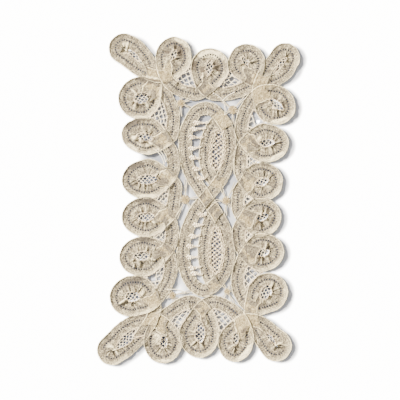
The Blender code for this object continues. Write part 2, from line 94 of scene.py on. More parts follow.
# The border's loops, clockwise round the mat, each with the run that leads to the next one.
# x, y: middle of the loop; reach, half: half its length and half its width, both to the
# middle of the tape; heading: where it points; enter, leave: degrees before and after its
# tip that follow the round shape; over: the returning limb lies on top of the entering one.
LOOPS = table(
    "Loop", "name x y reach half heading enter leave over run",
    ("right_6", 63.5, -86.5, 13.25, 12, 50, 100, 100, True,
     [(51, -84.5), (49, -94), (48, -103), (50, -113), (54.5, -124), (60.5, -134.5)]),
    ("bottom_5", 71, -134.5, 9, 8.5, -46, 90, 90, True,
     [(70.5, -123.5), (59.5, -114.5), (48.5, -111), (40, -112.5)]),
    ("bottom_4", 34.5, -129, 14.75, 10.5, -98, 85, 95, True,
     [(44, -121.5), (40, -112), (33.5, -104), (25.5, -98.5), (17, -95), (10, -95.5), (3, -100.5)]),
    ("bottom_3", 1, -124, 16, 12.5, -92, 100, 100, True,
     [(9, -107.5), (1.5, -98), (-6, -94.5), (-13, -95.5), (-21.5, -100.5), (-31, -107.5),
      (-39, -115.5)]),
    ("bottom_2", -32.5, -131, 14.25, 11.75, -92, 100, 100, True,
     [(-29, -117.5), (-35.5, -112), (-43.5, -110), (-53, -111), (-63, -114.5), (-72, -120.5),
      (-79.5, -128)]),
    ("bottom_1", -79, -138.5, 8.5, 8, -141, 90, 90, True,
     [(-65.5, -139), (-55.5, -129.5), (-48, -119.5), (-42.5, -109.5), (-40, -100.5), (-41.5, -91),
      (-45.5, -83.5), (-52, -77.5)]),
    ("left_6", -60, -89, 15.75, 12.75, 195, 90, 100, True,
     [(-47, -98.5), (-39, -92.5), (-32.5, -83.5), (-28, -75.5), (-25.3, -66), (-25.5, -57),
      (-29.3, -48)]),
    ("left_5", -51, -52.5, 16, 12.25, 187, 100, 105, True,
     [(-38, -57), (-30, -48), (-25.3, -40.5), (-24.2, -33), (-24.5, -25), (-29, -14.5)]),
    ("left_4", -48, -16.5, 16.5, 12.25, 180, 100, 105, True,
     [(-30.5, -18.5), (-24, -10), (-22.5, -1.5), (-21.5, 5.5), (-21.5, 13)]),
    ("left_3", -47, 18.5, 17.5, 12.25, 186, 105, 105, True,
     [(-27, 20), (-22.8, 29), (-23, 36), (-24.7, 43)]),
    ("left_2", -48, 58, 17, 10.75, 172, 105, 105, True,
     [(-25, 58), (-23.5, 67), (-23, 75.5), (-24.5, 83), (-27.5, 91), (-33, 99)]),
    ("left_1", -53, 93, 14.75, 13.25, 195, 105, 100, True,
     [(-41.5, 88.5), (-40, 95.5), (-39.5, 102), (-40.5, 113), (-44.5, 125), (-51.5, 135),
      (-59, 143)]),
    ("top_1", -68.5, 138.5, 7.75, 8, 143, 80, 80, True,
     [(-67.5, 128.5), (-61, 123.5), (-53, 118), (-42.5, 114), (-33.5, 112.5), (-24, 115.5),
      (-17, 120.5)]),
    ("top_2", -23, 130, 13.25, 10.75, 83, 100, 110, True,
     [(-31, 115), (-26, 106.5), (-19.5, 101.5), (-9.5, 98), (0.5, 97)]),
    ("top_3", 10.5, 120.5, 12.5, 11.5, 85, 105, 110, True,
     [(4.5, 104), (11.5, 97.5), (20, 96), (30, 97.5), (40, 100.5), (48.5, 106)]),
    ("top_4", 44.5, 125, 11.75, 11, 105, 105, 105, True,
     [(38, 116.5), (45, 112), (53, 108.5), (61.5, 107), (68.5, 108.5), (76, 112.5), (82.5, 118)]),
    ("top_5", 79.5, 129.5, 8, 7.75, 48, 90, 90, True,
     [(69, 128), (64, 121.5), (59.5, 113), (56, 104), (55.5, 95.5)]),
    ("right_1", 69.5, 87, 14.25, 12, -30, 105, 100, True,
     [(59.5, 99), (51, 93), (45, 84.5), (41.5, 76.5), (39.5, 66), (40, 58)]),
    ("right_2", 61.5, 51.5, 15.75, 11.75, -3, 105, 105, False,
     [(44, 51.5), (39.7, 43.5), (38.8, 33), (39.3, 23)]),
    ("right_3", 57.5, 15.5, 14.25, 12, 10, 105, 105, True,
     [(43, 15.5), (37.5, 6.5), (36, -3.5), (37.5, -12)]),
    ("right_4", 56.5, -17, 13.75, 11.75, 10, 105, 105, True,
     [(42, -18.5), (37.5, -27.5), (37.3, -36), (39.5, -45)]),
    ("right_5", 58.5, -49, 14.25, 11.5, 5, 105, 105, True,
     [(43.8, -50.5), (39, -60.5), (36.3, -70), (36, -78), (39, -88.5), (44, -95.5), (52, -100.5)]),
)

# The tape of the two leaves, its start lapped over its end, and the short tapes that split them.
START_LAP = 34             # how much of the start lies over the rest
MIDDLE_TAPE = [
    (17, 79), (21, 74), (24.3, 69.5), (25.9, 66),
    (28, 59), (28.8, 49.5), (28, 40.5), (26, 31.5), (21.8, 20), (15.5, 11), (9, 3),
    (1.5, -5.5), (-4.5, -14.5), (-9, -25.5), (-12.5, -37.5), (-14, -49.5), (-12.5, -61.5),
    (-9, -72.5), (-3, -80.5), (4.5, -84), (11.5, -81.5), (19, -74.5), (24.5, -65.5), (27.5, -54.5),
    (27.3, -43.5), (25.2, -31.5), (20.5, -20), (13.5, -8.5), (7, 1), (0, 11.5), (-7, 23), (-10.5, 34),
    (-12, 47), (-11.5, 60.5), (-7, 72.5), (-1, 81), (6.5, 83.5), (14, 81.5), (20, 75), (25.4, 67.5),
]
UPPER_SPLIT = [(22, 72), (16, 70), (11.8, 64), (8.5, 55), (6.6, 45), (6.6, 34), (9.4, 24), (14.5, 17),
               (21, 14.5)]
LOWER_SPLIT = [(19, -8), (14, -13), (10.5, -20), (7.5, -31.5), (5.5, -43), (5.5, -53.5), (7.5, -64.5),
               (10.5, -73.5), (14.5, -80.5)]
# In the order in which they are laid. The tape with no points of its own is the border's.
TAPES = table(
    "Tape", "name node points lap",
    ("split_upper_cloth", "split_tape_upper", UPPER_SPLIT, 0),
    ("split_lower_cloth", "split_tape_lower", LOWER_SPLIT, 0),
    ("border_cloth", "border_tape", None, 0),
    ("middle_cloth", "middle_tape", MIDDLE_TAPE, START_LAP),
)
BORDER = 2                 # the border's place among them

# Fillings. ---------------------------------------------------------------------------------------

# The netted eye of each loop, an oval: its middle, half its length and half its width, and
# which way it lies in degrees. The rows of its net run along it.
EYES = table(
    "Eye", "loop x y long wide turn",
    ("right_6", 61.8, -85.6, 7, 3.9, 65), ("bottom_5", 66.5, -128.2, 6, 2, -48),
    ("bottom_4", 34.2, -128.3, 6, 2.6, 80), ("bottom_3", 1.5, -122.4, 9.6, 4.2, 90),
    ("bottom_2", -31.6, -131.1, 5.5, 3, 90), ("bottom_1", -65.6, -128.8, 13, 4, 40),
    ("left_6", -60.1, -89.7, 6, 4.2, 10), ("left_5", -51.8, -52, 7.7, 3.5, 5),
    ("left_4", -48.6, -16.4, 8.2, 3.7, 2), ("left_3", -46.8, 17.9, 9.4, 4.1, 5),
    ("left_2", -49.1, 57, 7.4, 3.4, -12), ("left_1", -51.8, 92.9, 6.5, 4.6, 10),
    ("top_1", -59.7, 132.9, 6.5, 2.2, -40), ("top_2", -22.9, 132.5, 5, 2.4, 68),
    ("top_3", 9.8, 120.5, 7.4, 2.9, 80), ("top_4", 42.9, 126, 5.5, 2, 120),
    ("top_5", 76.5, 124.8, 6.6, 2, 52), ("right_1", 71.9, 86.9, 7.8, 2.9, -38),
    ("right_2", 62.7, 52, 7, 3, 5), ("right_3", 58.1, 15.6, 7.2, 2.8, 20),
    ("right_4", 58.6, -16.6, 6, 2.9, 25), ("right_5", 59.9, -49.7, 5.5, 2.7, 20),
)
# Nets between the loops and the runs, laid out in the same way, with the open places in them.
NETS = table(
    "Net", "name x y limit heading along across holes",
    ("net_top_left", -10.5, 111.5, 13, -20, 3, 2.8, []),
    ("net_top_right", 28, 107.5, 14, 5, 3, 2.8, []),
    ("net_left_1", -35.5, 76.5, 16, 60, 3.1, 2.8, []), ("net_left_3", -32, 0, 8, 90, 2.5, 2.4, []),
    ("net_left_4", -34, -33, 7, 90, 2.5, 2.4, []),
    ("net_left_5", -38, -72.5, 13, 50, 3.1, 2.8,
     [(-41.8, -73, 2.4, 2.1), (-36.8, -71.8, 1.9, 2.1)]),
    ("net_right_1", 52, 72.5, 12, -40, 3.8, 3.4,
     [(50.9, 75.2, 1.5, 2.1), (54.9, 71.3, 2.1, 1.5), (49.9, 69.3, 2.1, 1.8)]),
    ("net_right_2", 46.5, 34.5, 8, 90, 2.5, 2.4, []), ("net_right_3", 45, 0, 8, 90, 2.5, 2.4, []),
    ("net_right_4", 45.5, -32.5, 7, 90, 2.5, 2.4, []),
    ("net_right_5", 46.5, -72, 14, 90, 3.1, 3, []),
    ("net_bottom_left", -17, -109.5, 12, 20, 3, 2.8, [(-18.2, -112.5, 1.6, 2.2)]),
    ("net_bottom_right", 22, -110, 13, -5, 3, 2.8, [(21.5, -112.5, 2.1, 2.4)]),
)
# The wheels worked in the open corners: middle, radius, and where each leg points, in degrees.
WHEELS = table(
    "Wheel", "name x y radius legs",
    ("wheel_top_left", -16, 88, 3.2, [25, 88, 160, 222, 268, 335]),
    ("wheel_top_right", 31.5, 82, 3.7, [45, 140, 205, 272, 340]),
    ("wheel_middle_left", -12, -0.5, 3.8, [10, 88, 178, 245, 300]),
    ("wheel_middle_right", 25.5, -1.5, 3.5, [5, 62, 110, 180, 268, 305]),
    ("wheel_bottom_left", -24, -88.5, 3, [13, 115, 200, 285, 320]),
    ("wheel_bottom_right", 26.5, -85, 2.7, [15, 68, 120, 240, 300]),
)
# Single threads from tape to tape: where each starts and ends.
LOOSE = table(
    "Loose", "x y to_x to_y",
    (-38.5, 44.8, -31.5, 32.5), (-36.5, 45.5, -30, 34.5), (22.6, 90.5, 24.4, 77.5),
    (22.6, 90.5, 33, 98), (14, 97, 22.6, 90.5), (-27.5, -83.5, -12, -85.5),
)
# The long fillings of the leaves: the line down their middle, and a ladder's bars along Y.
STRIPS = table(
    "Strip", "name spine bars",
    ("ladder_upper",
     [(6.5, 74.5), (1.5, 67), (-1.5, 59.5), (-2.5, 52), (-2.5, 42), (-1.5, 33), (2, 23), (6.5, 15)],
     [70, 64.5, 56.5, 47, 37.5, 27.5, 19]),
    ("ladder_lower",
     [(7, -8.5), (3.5, -19), (-1.5, -29.5), (-3.5, -38.5), (-4, -48.5), (-3.5, -58), (-1, -67),
      (3, -75)],
     [-14, -24, -34, -43.5, -53.5, -63, -69]),
    ("net_upper", [(18.5, 63), (17.8, 56), (17.2, 47), (16.8, 38), (16.2, 27.5)], []),
    ("net_lower", [(16.2, -26.5), (16.8, -34), (17, -43), (17, -53), (16.4, -62), (15.7, -68)], []),
)
# How netting is worked. The thread, the knots and the thread of the edge's stitches are shares of
# the nets' thread; out and back are how far the stitches reach over the tape and into the gap.
# One column darkens all of a style's threads, painted shade for the dark pits between the knots of a
# lens.
NETTING = {style.name: style for style in table(
    "Netting", "name thread knot jitter toned mixed soiled edge_thread pitch out back edge_toned",
    ("eye", 0.5, 0.45, 0.2, 0.3, 0.3, 0, 0.62, 2.1, 1.3, 0, 0.9),
    ("net", 0.8, 0.7, 0.28, 0.3, 0.3, 0, 0.65, 2.0, 0.9, -0.4, 0.8),
    ("lens", 0.75, 1.0, 0.3, 0.8, 0.4, 1.0, 0.7, 3.4, 1.4, -0.4, 0.9),
)}
EYE_CELL, LENS_CELL = (1.9, 2.0), (2.0, 2.2)  # pitch along and across the rows
EYE_MARGIN = 4             # how far past its oval an eye's net may reach
LENS_LAP = 1.8             # how far a lens is worked over the edges of its tapes
STRIP_ROWS = 40            # places along a leaf's filling where its width is measured
STRIP_REACH = 22           # the widest that half a leaf's filling may be
# The knots at the left end of a ladder's bar: how far along, how far up, and the radius.
LADDER_KNOTS = (
    (-2.6, 0.4, 1.1), (-1.2, 1.5, 1.2), (-0.9, -1.2, 1.2), (0.5, 0.9, 1.3), (0.9, -1.0, 1.3),
    (2.3, 0.7, 1.1), (2.6, -0.7, 1.0), (3.8, 0.1, 1.0),
)
WHEEL_LEG_LIMIT = 19
WHEEL_HEIGHT = 1.3         # height of a wheel's middle over the table
WHEEL_PITCH = 0.62         # from one turn of a wheel's spiral to the next
WHEEL_RIBS = 9             # knots round the rim of a wheel
THREAD_SIDES = 6
DEEP_TONE = 0.42           # how dark a thread gets: painted shade between its plies and under its knots, and darker patches
TWIST = 1.1                # length of one turn of a twisted thread
GAP_RAYS = 60              # directions in which the edge of a gap is looked for
RAY_STEP = 0.2             # steps in which a straight line looks for the edge of a tape
EDGE_NEAR = 0.5            # a line this near the edge of a tape has come to it
EDGE_LAP = 0.3             # how far the line then runs on

# Folds and marks in the cloth. -------------------------------------------------------------------

# Folds in the loops: where each starts and ends, how wide it is, and how high, less than 0
# for one pressed in.
CREASES = table(
    "Crease", "x y to_x to_y width height",
    (-63.8, 58, -44.5, 55.2, 1.3, 1), (-57.4, 50.6, -44.5, 47.8, 1.2, 0.9),
    (-62.9, 53.4, -58.3, 50.6, 1, -0.8), (-62.9, 56.1, -55.5, 55.7, 1.6, 0.7),
    (-57.8, 91.1, -49.1, 79.1, 1.1, -1.1), (-54.6, 92, -45.4, 82.8, 1.6, 1),
    (-48.2, 80, -42.6, 85.6, 1, -0.7), (-63.8, 15.6, -55.5, 15.6, 1.3, 0.9),
    (-62, 12.4, -56.4, 12.9, 1.1, -0.9), (-59.2, -12.9, -51.8, -9.2, 1.2, 0.7),
    (-59.2, -56.1, -60.1, -63.5, 1.3, 0.9), (-48.2, -58, -42.6, -54.3, 1.2, 0.8),
    (-73, -94.8, -53.7, -94.8, 1.3, 1), (-51.8, -77.3, -51.8, -89.2, 1.4, 0.9),
    (-68.4, -98.4, -58.3, -100.3, 1.2, -0.6), (-84, -137.1, -76.7, -134.3, 1.3, 0.9),
    (-76.7, -138.9, -72.1, -143.5, 1.3, 0.8), (-70.2, -134.3, -62, -126, 1.2, -0.7),
    (-41.7, -120.5, -35.3, -123.3, 1.2, -0.9), (-33.4, -136.2, -21.5, -138, 1.2, -0.9),
    (-39, -130.6, -35.3, -134.3, 1.4, 0.8), (59.5, -12, 68.7, -9.2, 1.1, -0.9),
    (59.5, -47.8, 68.7, -45.1, 1.1, -0.9), (58.6, 21.2, 67.8, 26.7, 1.2, -0.6),
    (58.6, -92.9, 65.9, -96.6, 1.3, 0.8), (1.5, -129.7, 4.3, -136.2, 1.3, 0.9),
    (6.1, -116.8, 9.8, -123.3, 1.2, -0.6), (71.4, -134.3, 80.6, -134.3, 1.3, 0.9),
    (38.3, -133.4, 45.7, -137.1, 1.3, 0.7), (27.3, -127.9, 31, -135.2, 1.2, -0.6),
    (2.4, 130.6, 19, 132.9, 2, 1), (14.4, 122.4, 19, 115, 1.3, 0.7),
    (-31.6, 135.2, -25.2, 136.2, 1.3, -0.8), (-16, 141.7, -13.2, 129.7, 1.8, -0.7),
    (67.8, 117.8, 74.2, 124.2, 1.2, 0.7), (34.6, 134.3, 39.2, 127.9, 1.2, 0.6),
    (-73, 132.5, -64.7, 126, 1.2, -0.6), (71.4, 92, 80.6, 94.8, 1.2, -0.6),
    (49.4, 51.5, 58.6, 56.1, 1.4, 0.9), (58.6, 84.6, 65.9, 80, 1.4, 0.9),
)
# Marks on the cloth: middle, half sizes, slant in degrees, and how strong.
MARK = "x y long wide turn depth"
# Old stains; the last two rows are painted shadow under the lower edges of top_1 and top_4.
STAINS_AND_SHADE = table(
    "Stain", MARK,
    (-28.8, 134.8, 3.2, 1.8, 0, 0.9), (-23.8, 142.6, 3, 2.5, 0, 0.85),
    (-17.2, 136.5, 5.4, 6.4, 0, 0.9), (-3.5, 121.9, 2.8, 5.6, 0, 0.85),
    (4.3, 118.7, 3.2, 3.2, 0, 0.9), (16.2, 121, 4.6, 4.8, 0, 0.8), (-46, 110.2, 11, 1.6, -12, 0.45),
    (46.5, 106.5, 7, 1.8, -20, 0.4),
)
# Painted shade: where the cloth lies in the shade of its neighbour.
PAINTED_SHADE_MARKS = table(
    "Greyed", MARK,
    (-58, -75, 13, 3.5, 15, -1.5), (-48, -37, 10, 2.5, 0, -1.5), (-49, -1, 10, 2.5, 0, -1.5),
    (-58, 31, 9, 2.5, 25, -1.5), (-59, 70, 9, 2.5, 25, -1.5), (-47, 109, 10, 2.5, -9, -1.5),
    (-67, 100, 3, 1.5, 70, -1), (3, 98, 8, 1.8, -52, -1), (46, 106.5, 6, 1.5, -21, -1.1),
    (-22, 110, 3, 1.2, 15, -1), (-8, 103, 3, 2, -10, -1), (62, 32, 4, 2, -20, -1.1),
    (49, 55, 3, 1.5, -45, -1), (50, -52, 4, 2, 25, -1), (-51, -107, 8, 1, 12, -1),
    (32, -103, 4, 1.5, -30, -1), (-14, -93, 4, 1, 10, -1), (41, -121, 3, 1.5, 30, -1),
)
# Painted highlights: where the cloth gleams on a crest or a rim.
PAINTED_HIGHLIGHT_MARKS = table(
    "PaintedHighlight", MARK,
    (11, 133, 14, 3.8, -8, 1.2), (-15, 144, 8, 2, -30, 1), (-47, 3, 8, 1.3, 0, 0.8),
    (74, 72.5, 8, 1.5, 18, 0.9), (-44, 111.5, 8, 1.2, -8, 0.9), (59, 121, 4, 2, 55, 0.8),
    (-67, 142, 5, 2, -5, 0.8), (43, -141, 9, 2, 50, 1.1), (-57, 57, 6, 1.3, 3, 0.8),
    (-61, 47, 6, 2, -35, 0.8), (-34, -148.5, 7, 1, 0, 0.8), (71, 39, 7, 1.6, 30, 0.9),
    (-52, 75, 9, 1, -5, 0.8), (-50, -34.5, 9, 1, -3, 0.6), (-35, 97, 6, 0.8, 80, 0.7),
)

# The table and the stage. ------------------------------------------------------------------------

TABLE_STEP = 1.0
TABLE_REACH = (112, 172)   # half of the part of the table that has fine cells
TABLE_END = 3000
TABLE_LOW = -0.3
FAR = 1e3                  # farther than any fine place of the table is from a tape
SHADE_PART = 100           # points of the tapes compared at a time
SHADE_SHIFT = (6.2, -1.8)  # which way the table's shade falls from the lace
RIM_SHIFT = (0.6, -0.4)    # and the thin shade close round its edge
# How dark the painted shade on the table is under an eye, a net and a lens.
EYE_SHADE, NET_SHADE, LENS_SHADE = 1.0, 0.8, 0.95
SUN_WAY = (0.68, -0.40, -0.47)
SUN_WIDTH = 9              # degrees
SUN_COLOUR = (1.0, 0.96, 0.885)
SENSOR = 36
CAMERA_SHIFT = (0.0015, -0.0009)  # in metres, like the next
CLIP_END = 10


# Settings ----------------------------------------------------------------------------------------

def size_property(name, description, millimetres):
    return FloatProperty(name=name, description=description, default=millimetres * MM,
                         unit="LENGTH", precision=5)


def colour_property(name, description, colour):
    return FloatVectorProperty(name=name, description=description, default=colour, size=3,
                               min=0, max=1, subtype="COLOR")


def light_property(name, description, strength):
    return FloatProperty(name=name, description=description, default=strength)


class TapeSettings(bpy.types.PropertyGroup):
    width: size_property("Width", "Width of the woven tape", 12.0)
    thickness: size_property("Thickness", "Thickness of the woven tape", 0.6)
    pinhole_pitch: size_property("Pinhole pitch", "From one pinhole to the next", 2.36)
    gather: size_property("Gather", "Height of the puckers on the inside of a bend", 1.8)
    curl: size_property("Curl", "How far the outer edge of a loop lifts", 1.45)
    unevenness: size_property("Unevenness", "How far the laid tape waves up and down", 0.5)
    colour: colour_property("Colour", "The cloth in plain light", (0.192, 0.146, 0.084))
    # The pale colour is the cloth's paler patches and also a painted highlight on crests, folds and
    # selvedges.
    pale: colour_property("Pale colour", "Selvedges and the crests of pleats", (0.98, 0.825, 0.48))
    double: colour_property("Doubled colour", "The cloth in two layers", (0.46, 0.33, 0.137))
    # The dull colour is greyed patches and also painted shade in hollows and folds, beside higher
    # tapes and inside the selvedges.
    dull_and_shade: colour_property("Dull colour", "Greyed patches", (0.092, 0.072, 0.049))
    # The shade colour is painted shade round the pinholes.
    shade: colour_property("Shade colour", "The cloth round a pinhole", (0.055, 0.06, 0.08))
    # The stain colour is old stains and also painted shadow under the edges of two tapes.
    stain: colour_property("Stain colour", "Old brown stains", (0.098, 0.072, 0.044))


class ThreadSettings(bpy.types.PropertyGroup):
    diameter: size_property("Diameter", "The twisted thread of the nets", 0.95)
    bar_diameter: size_property("Bar diameter", "The thread of bars and wheel legs", 1.1)
    colour: colour_property("Colour", "The thread of the nets", (0.88, 0.79, 0.57))
    cream: colour_property("Cream", "Knots, bars and the stitches round an eye", (0.64, 0.485, 0.285))
    wheel_colour: colour_property("Wheel colour", "The thread of the wheels", (0.28, 0.2, 0.09))


class StageSettings(bpy.types.PropertyGroup):
    distance: size_property("Camera distance", "Height of the camera over the mat", 1800.0)
    view_width: size_property("View width", "Width of table that the camera sees", 368.0)
    floor_colour: colour_property("Table colour", "The plain pale table", (0.98, 0.98, 0.98))
    # The shaded colour is painted shade on the table, under and beside the lace.
    shade_colour: colour_property("Shaded colour", "The table under the lace", (0.07, 0.077, 0.105))
    sun_strength: light_property("Key light", "Strength of the low light", 30.0)
    sky_strength: light_property("Sky light", "Strength of the light all round", 1.35)
    # The glow is emission from the table, no lamp; it is left off in the painted shade.
    glow: light_property("Table glow", "Light that the bare table gives back", 9.0)


def tape_width():
    return bpy.context.scene.lace_tape.width / MM


def tape_thickness():
    return bpy.context.scene.lace_tape.thickness / MM


def thread_size(kind="diameter"):
    """How thick the thread of the nets, or that of the bars, is."""
    return getattr(bpy.context.scene.lace_thread, kind) / MM


# Shader sums -------------------------------------------------------------------------------------

class Socket:
    """An output of a node. Python's operators on it add Math nodes."""

    def __init__(self, finish, socket):
        self.finish = finish
        self.socket = socket

    def _sum(self, operation, left, right):
        return self.finish.node("ShaderNodeMath", {"operation": operation}, {0: left, 1: right})

    def __add__(self, other):
        return self._sum("ADD", self, other)

    def __sub__(self, other):
        return self._sum("SUBTRACT", self, other)

    def __rsub__(self, other):
        return self._sum("SUBTRACT", other, self)

    def __mul__(self, other):
        return self._sum("MULTIPLY", self, other)

    def __pow__(self, other):
        return self._sum("POWER", self, other)

    __radd__ = __add__
    __rmul__ = __mul__


class Finish:
    """A material, and the one way in which its nodes are added."""

    def __init__(self, name):
        self.material = bpy.data.materials.new(name)
        self.material.use_nodes = True
        self.tree = self.material.node_tree
        self.tree.nodes.clear()

    def node(self, kind, settings=None, inputs=None, output=0):
        """Adds a node: its type, its settings, and the values or links of its sockets."""
        made = self.tree.nodes.new(kind)
        for name, value in (settings or {}).items():
            setattr(made, name, value)
        for key, value in (inputs or {}).items():
            if isinstance(value, Socket):
                self.tree.links.new(value.socket, made.inputs[key])
            elif made.inputs[key].type == "RGBA":
                made.inputs[key].default_value = (*value[:3], 1)
            else:
                made.inputs[key].default_value = value
        return Socket(self, made.outputs[output]) if made.outputs else None

    def reading(self, name):
        """A number that the mesh carries at each of its points."""
        return self.node("ShaderNodeAttribute", {"attribute_name": name}, output="Fac")

    def place(self):
        return self.node("ShaderNodeTexCoord", output="Object")

    def flat(self, x, y):
        return self.node("ShaderNodeCombineXYZ", None, {"X": x, "Y": y})

    def noise(self, where, size=1.0, detail=2.0, roughness=0.5):
        """Smooth noise from 0 to 1 whose lumps are about size across."""
        return self.node("ShaderNodeTexNoise", None, {
            "Vector": where, "Scale": 1 / size, "Detail": detail, "Roughness": roughness})

    def ramp(self, value, low, high):
        """0 below low, 1 above high, smooth between them."""
        return self.node("ShaderNodeMapRange", {"interpolation_type": "SMOOTHSTEP"}, {
            "Value": value, "From Min": low, "From Max": high, "To Min": 0.0, "To Max": 1.0})

    def wave(self, value, period):
        """A sine of the value, from -1 to 1."""
        turned = value * (2 * math.pi / period)
        return self.node("ShaderNodeMath", {"operation": "SINE"}, {0: turned})

    def size_of(self, value):
        return self.node("ShaderNodeMath", {"operation": "ABSOLUTE"}, {0: value})

    def dye(self, share, first, second):
        """Two colours mixed by a share."""
        return self.node("ShaderNodeMix", {"data_type": "RGBA"}, {0: share, 6: first, 7: second},
                         output=2)

    def bump(self, height, distance, strength=1.0):
        return self.node("ShaderNodeBump", None, {
            "Height": height, "Distance": distance, "Strength": strength})

    def close(self, colour, roughness, normal=None, **others):
        """The shader and the output. The others are more of the shader's own inputs."""
        inputs = {"Base Color": colour, "Roughness": roughness}
        if normal is not None:
            inputs["Normal"] = normal
        inputs.update({name.replace("_", " "): value for name, value in others.items()})
        shader = self.node("ShaderNodeBsdfPrincipled", None, inputs)
        self.node("ShaderNodeOutputMaterial", None, {"Surface": shader})
        return self.material


# What the mesh of a tape carries for its shader.
TAPE_READINGS = ("along", "across", "relief", "doubled", "stain", "pin", "shaded", "gathered")


@lru_cache(maxsize=None)
def tape_cloth():
    """Ecru woven tape: a fine plain weave, greyed and pale patches, old stains, paler selvedges, and
    painted light and shade.
    """
    tape = bpy.context.scene.lace_tape
    cloth = Finish("woven_tape")
    along, across, relief, doubled, stain, pin, shaded, gathered = map(cloth.reading, TAPE_READINGS)
    place, off_middle = cloth.place(), cloth.size_of(across)
    # The noises that mottle it: long streaks, drawn threads, patches, specks and a fine grain.
    streaks = cloth.noise(cloth.flat(along * 0.55, across * 1.2), roughness=0.6)
    lines = cloth.noise(cloth.flat(along * 0.12, across * 5.5), detail=1.0)
    patches = cloth.noise(place, 9 * MM, 3.0, 0.6)
    specks = cloth.noise(place, 2.1 * MM, 3.0, 0.7)
    grain = cloth.noise(place, 1.1 * MM, 2.0, 0.6)
    crumple = cloth.noise(place, 2.6 * MM, 3.0, 0.6)
    single, worn, wrinkled = 1 - doubled, 1 - doubled * 0.5, 0.35 + gathered * 0.65
    colour = cloth.dye(cloth.ramp(patches, 0.40, 0.66) * 0.5, tape.colour, tape.dull_and_shade)
    colour = cloth.dye(doubled * 0.4, colour, tape.double)
    # The mottles are random tone; the streaks, stronger where the tape is gathered, also paint the
    # light and shade of fine puckers.
    for share, low, high, tone in ((0.4, 0.5, 0.64, tape.pale), (0.65, 0.5, 0.36, tape.dull_and_shade)):
        for mottle in (
                cloth.ramp(specks, low, high) * worn * (share * 0.7),
                cloth.ramp(grain, low, low + (high - low) * 0.6) * (share * 1.0),
                cloth.ramp(streaks, low, high) * wrinkled * (share * 1.25),
                cloth.ramp(lines, low, high) * (share * 0.45)):
            colour = cloth.dye(mottle, colour, tone)
    # Darker along the middle line of pinholes, and a darker line inside each selvedge, partly the
    # weave and partly painted shade beside the raised selvedge.
    middle = cloth.ramp(off_middle, 0.25, 0.10) * single
    inside_edge = cloth.ramp(off_middle, 0.68, 0.76) * cloth.ramp(off_middle, 0.91, 0.84)
    # The selvedges paler, partly their own colour and partly a painted highlight on the raised edge.
    edge = cloth.ramp(off_middle, 0.84, 0.96)
    # Painted light and shade: relief darkens hollows and pales crests and lit sides, shaded is painted
    # shade beside a higher tape, pin painted shade round the pinholes.
    for share, tone in (
            (doubled * 0.35, tape.double),
            (middle * 0.25, tape.dull_and_shade),
            (cloth.ramp(relief, 0.0, -0.9) * 0.85, tape.dull_and_shade),
            (cloth.ramp(relief, 0.1, 0.9) * 0.9, tape.pale),
            (inside_edge * worn * 0.35, tape.dull_and_shade),
            (edge * (0.45 + cloth.ramp(specks, 0.38, 0.58) * 0.5), tape.pale),
            (shaded ** 5.0 * 0.6, tape.dull_and_shade),
            (stain, tape.stain),
            (pin ** 2.2 * 0.8, tape.shade)):
        colour = cloth.dye(share, colour, tone)
    weave = cloth.wave(across, 0.075) * cloth.wave(along, 0.42) * 0.06
    height = weave + crumple * 1.4 + grain * 0.5 + streaks * wrinkled * 1.2
    return cloth.close(colour, 0.85, cloth.bump(height, 2.4 * MM), Specular_IOR_Level=0.2,
                       Sheen_Weight=0.1, Sheen_Roughness=0.5)


# The material of each slot's threads, and the setting that gives its deeper tone.
THREAD_CLOTHS = {"thread": ("net_thread", "cream"), "wheel_thread": ("wheel_thread", "wheel_colour")}


@lru_cache(maxsize=None)
def thread_cloth(slot):
    """Twisted thread: painted shade between its plies and under its knots, with a little unevenness of
    colour.

    The mesh says where it is the colour of the nets and where it has its slot's own tone.
    """
    threads = bpy.context.scene.lace_thread
    name, setting = THREAD_CLOTHS[slot]
    tone = getattr(threads, setting)
    deep = tuple(channel * DEEP_TONE for channel in tone)
    thread = Finish(name)
    place = thread.place()
    patches = thread.noise(place, 4.5 * MM, 3.0, 0.6)
    fibres = thread.noise(place, 0.4 * MM, 2.0, 0.6)
    colour = thread.dye(thread.reading("toned"), threads.colour, tone)
    # Low relief takes the deep tone: painted shade between plies, under knots and on darkened threads.
    colour = thread.dye(thread.ramp(thread.reading("relief"), 0.3, -0.8) * 0.7, colour, deep)
    colour = thread.dye(thread.ramp(patches, 0.45, 0.7) * 0.4, colour, deep)
    return thread.close(colour, 0.8, thread.bump(fibres, 0.08 * MM, 0.6), Specular_IOR_Level=0.25,
                        Sheen_Weight=0.2, Sheen_Roughness=0.4)


# Lines and noises --------------------------------------------------------------------------------

def smooth_step(value):
    value = np.clip(value, 0, 1)
    return value * value * (3 - 2 * value)


def rising(value, start, width):
    """0 below the start and 1 from a width above it, smooth between."""
    return smooth_step((value - start) / width)


def falling(value, end, width):
    """0 above the end and 1 from a width below it, smooth between."""
    return smooth_step((end - value) / width)


def pointing(angle):
    """The way in which an angle points, or one way for each of several."""
    return np.stack([np.cos(angle), np.sin(angle)], axis=-1)


def left_of(way):
    """A way turned a quarter to the left."""
    return np.stack([-way[..., 1], way[..., 0]], axis=-1)


def oval_share(x, y, middle_x, middle_y, long, wide, turn=0):
    """How far out in an oval each place lies, 1 on its outline."""
    turn = np.radians(turn)
    x, y = x - middle_x, y - middle_y
    return np.hypot((x * np.cos(turn) + y * np.sin(turn)) / long,
                    (y * np.cos(turn) - x * np.sin(turn)) / wide)


def lengths(ways):
    return np.linalg.norm(ways, axis=1)[:, None]


def travelled(line):
    """How far along a line each of its points lies."""
    return np.concatenate([[0], np.cumsum(np.linalg.norm(np.diff(line, axis=0), axis=1))])


def at_distances(line, distances):
    """The places that lie at these distances along a line."""
    known = travelled(line)
    return np.stack([np.interp(distances, known, column) for column in line.T], axis=1)


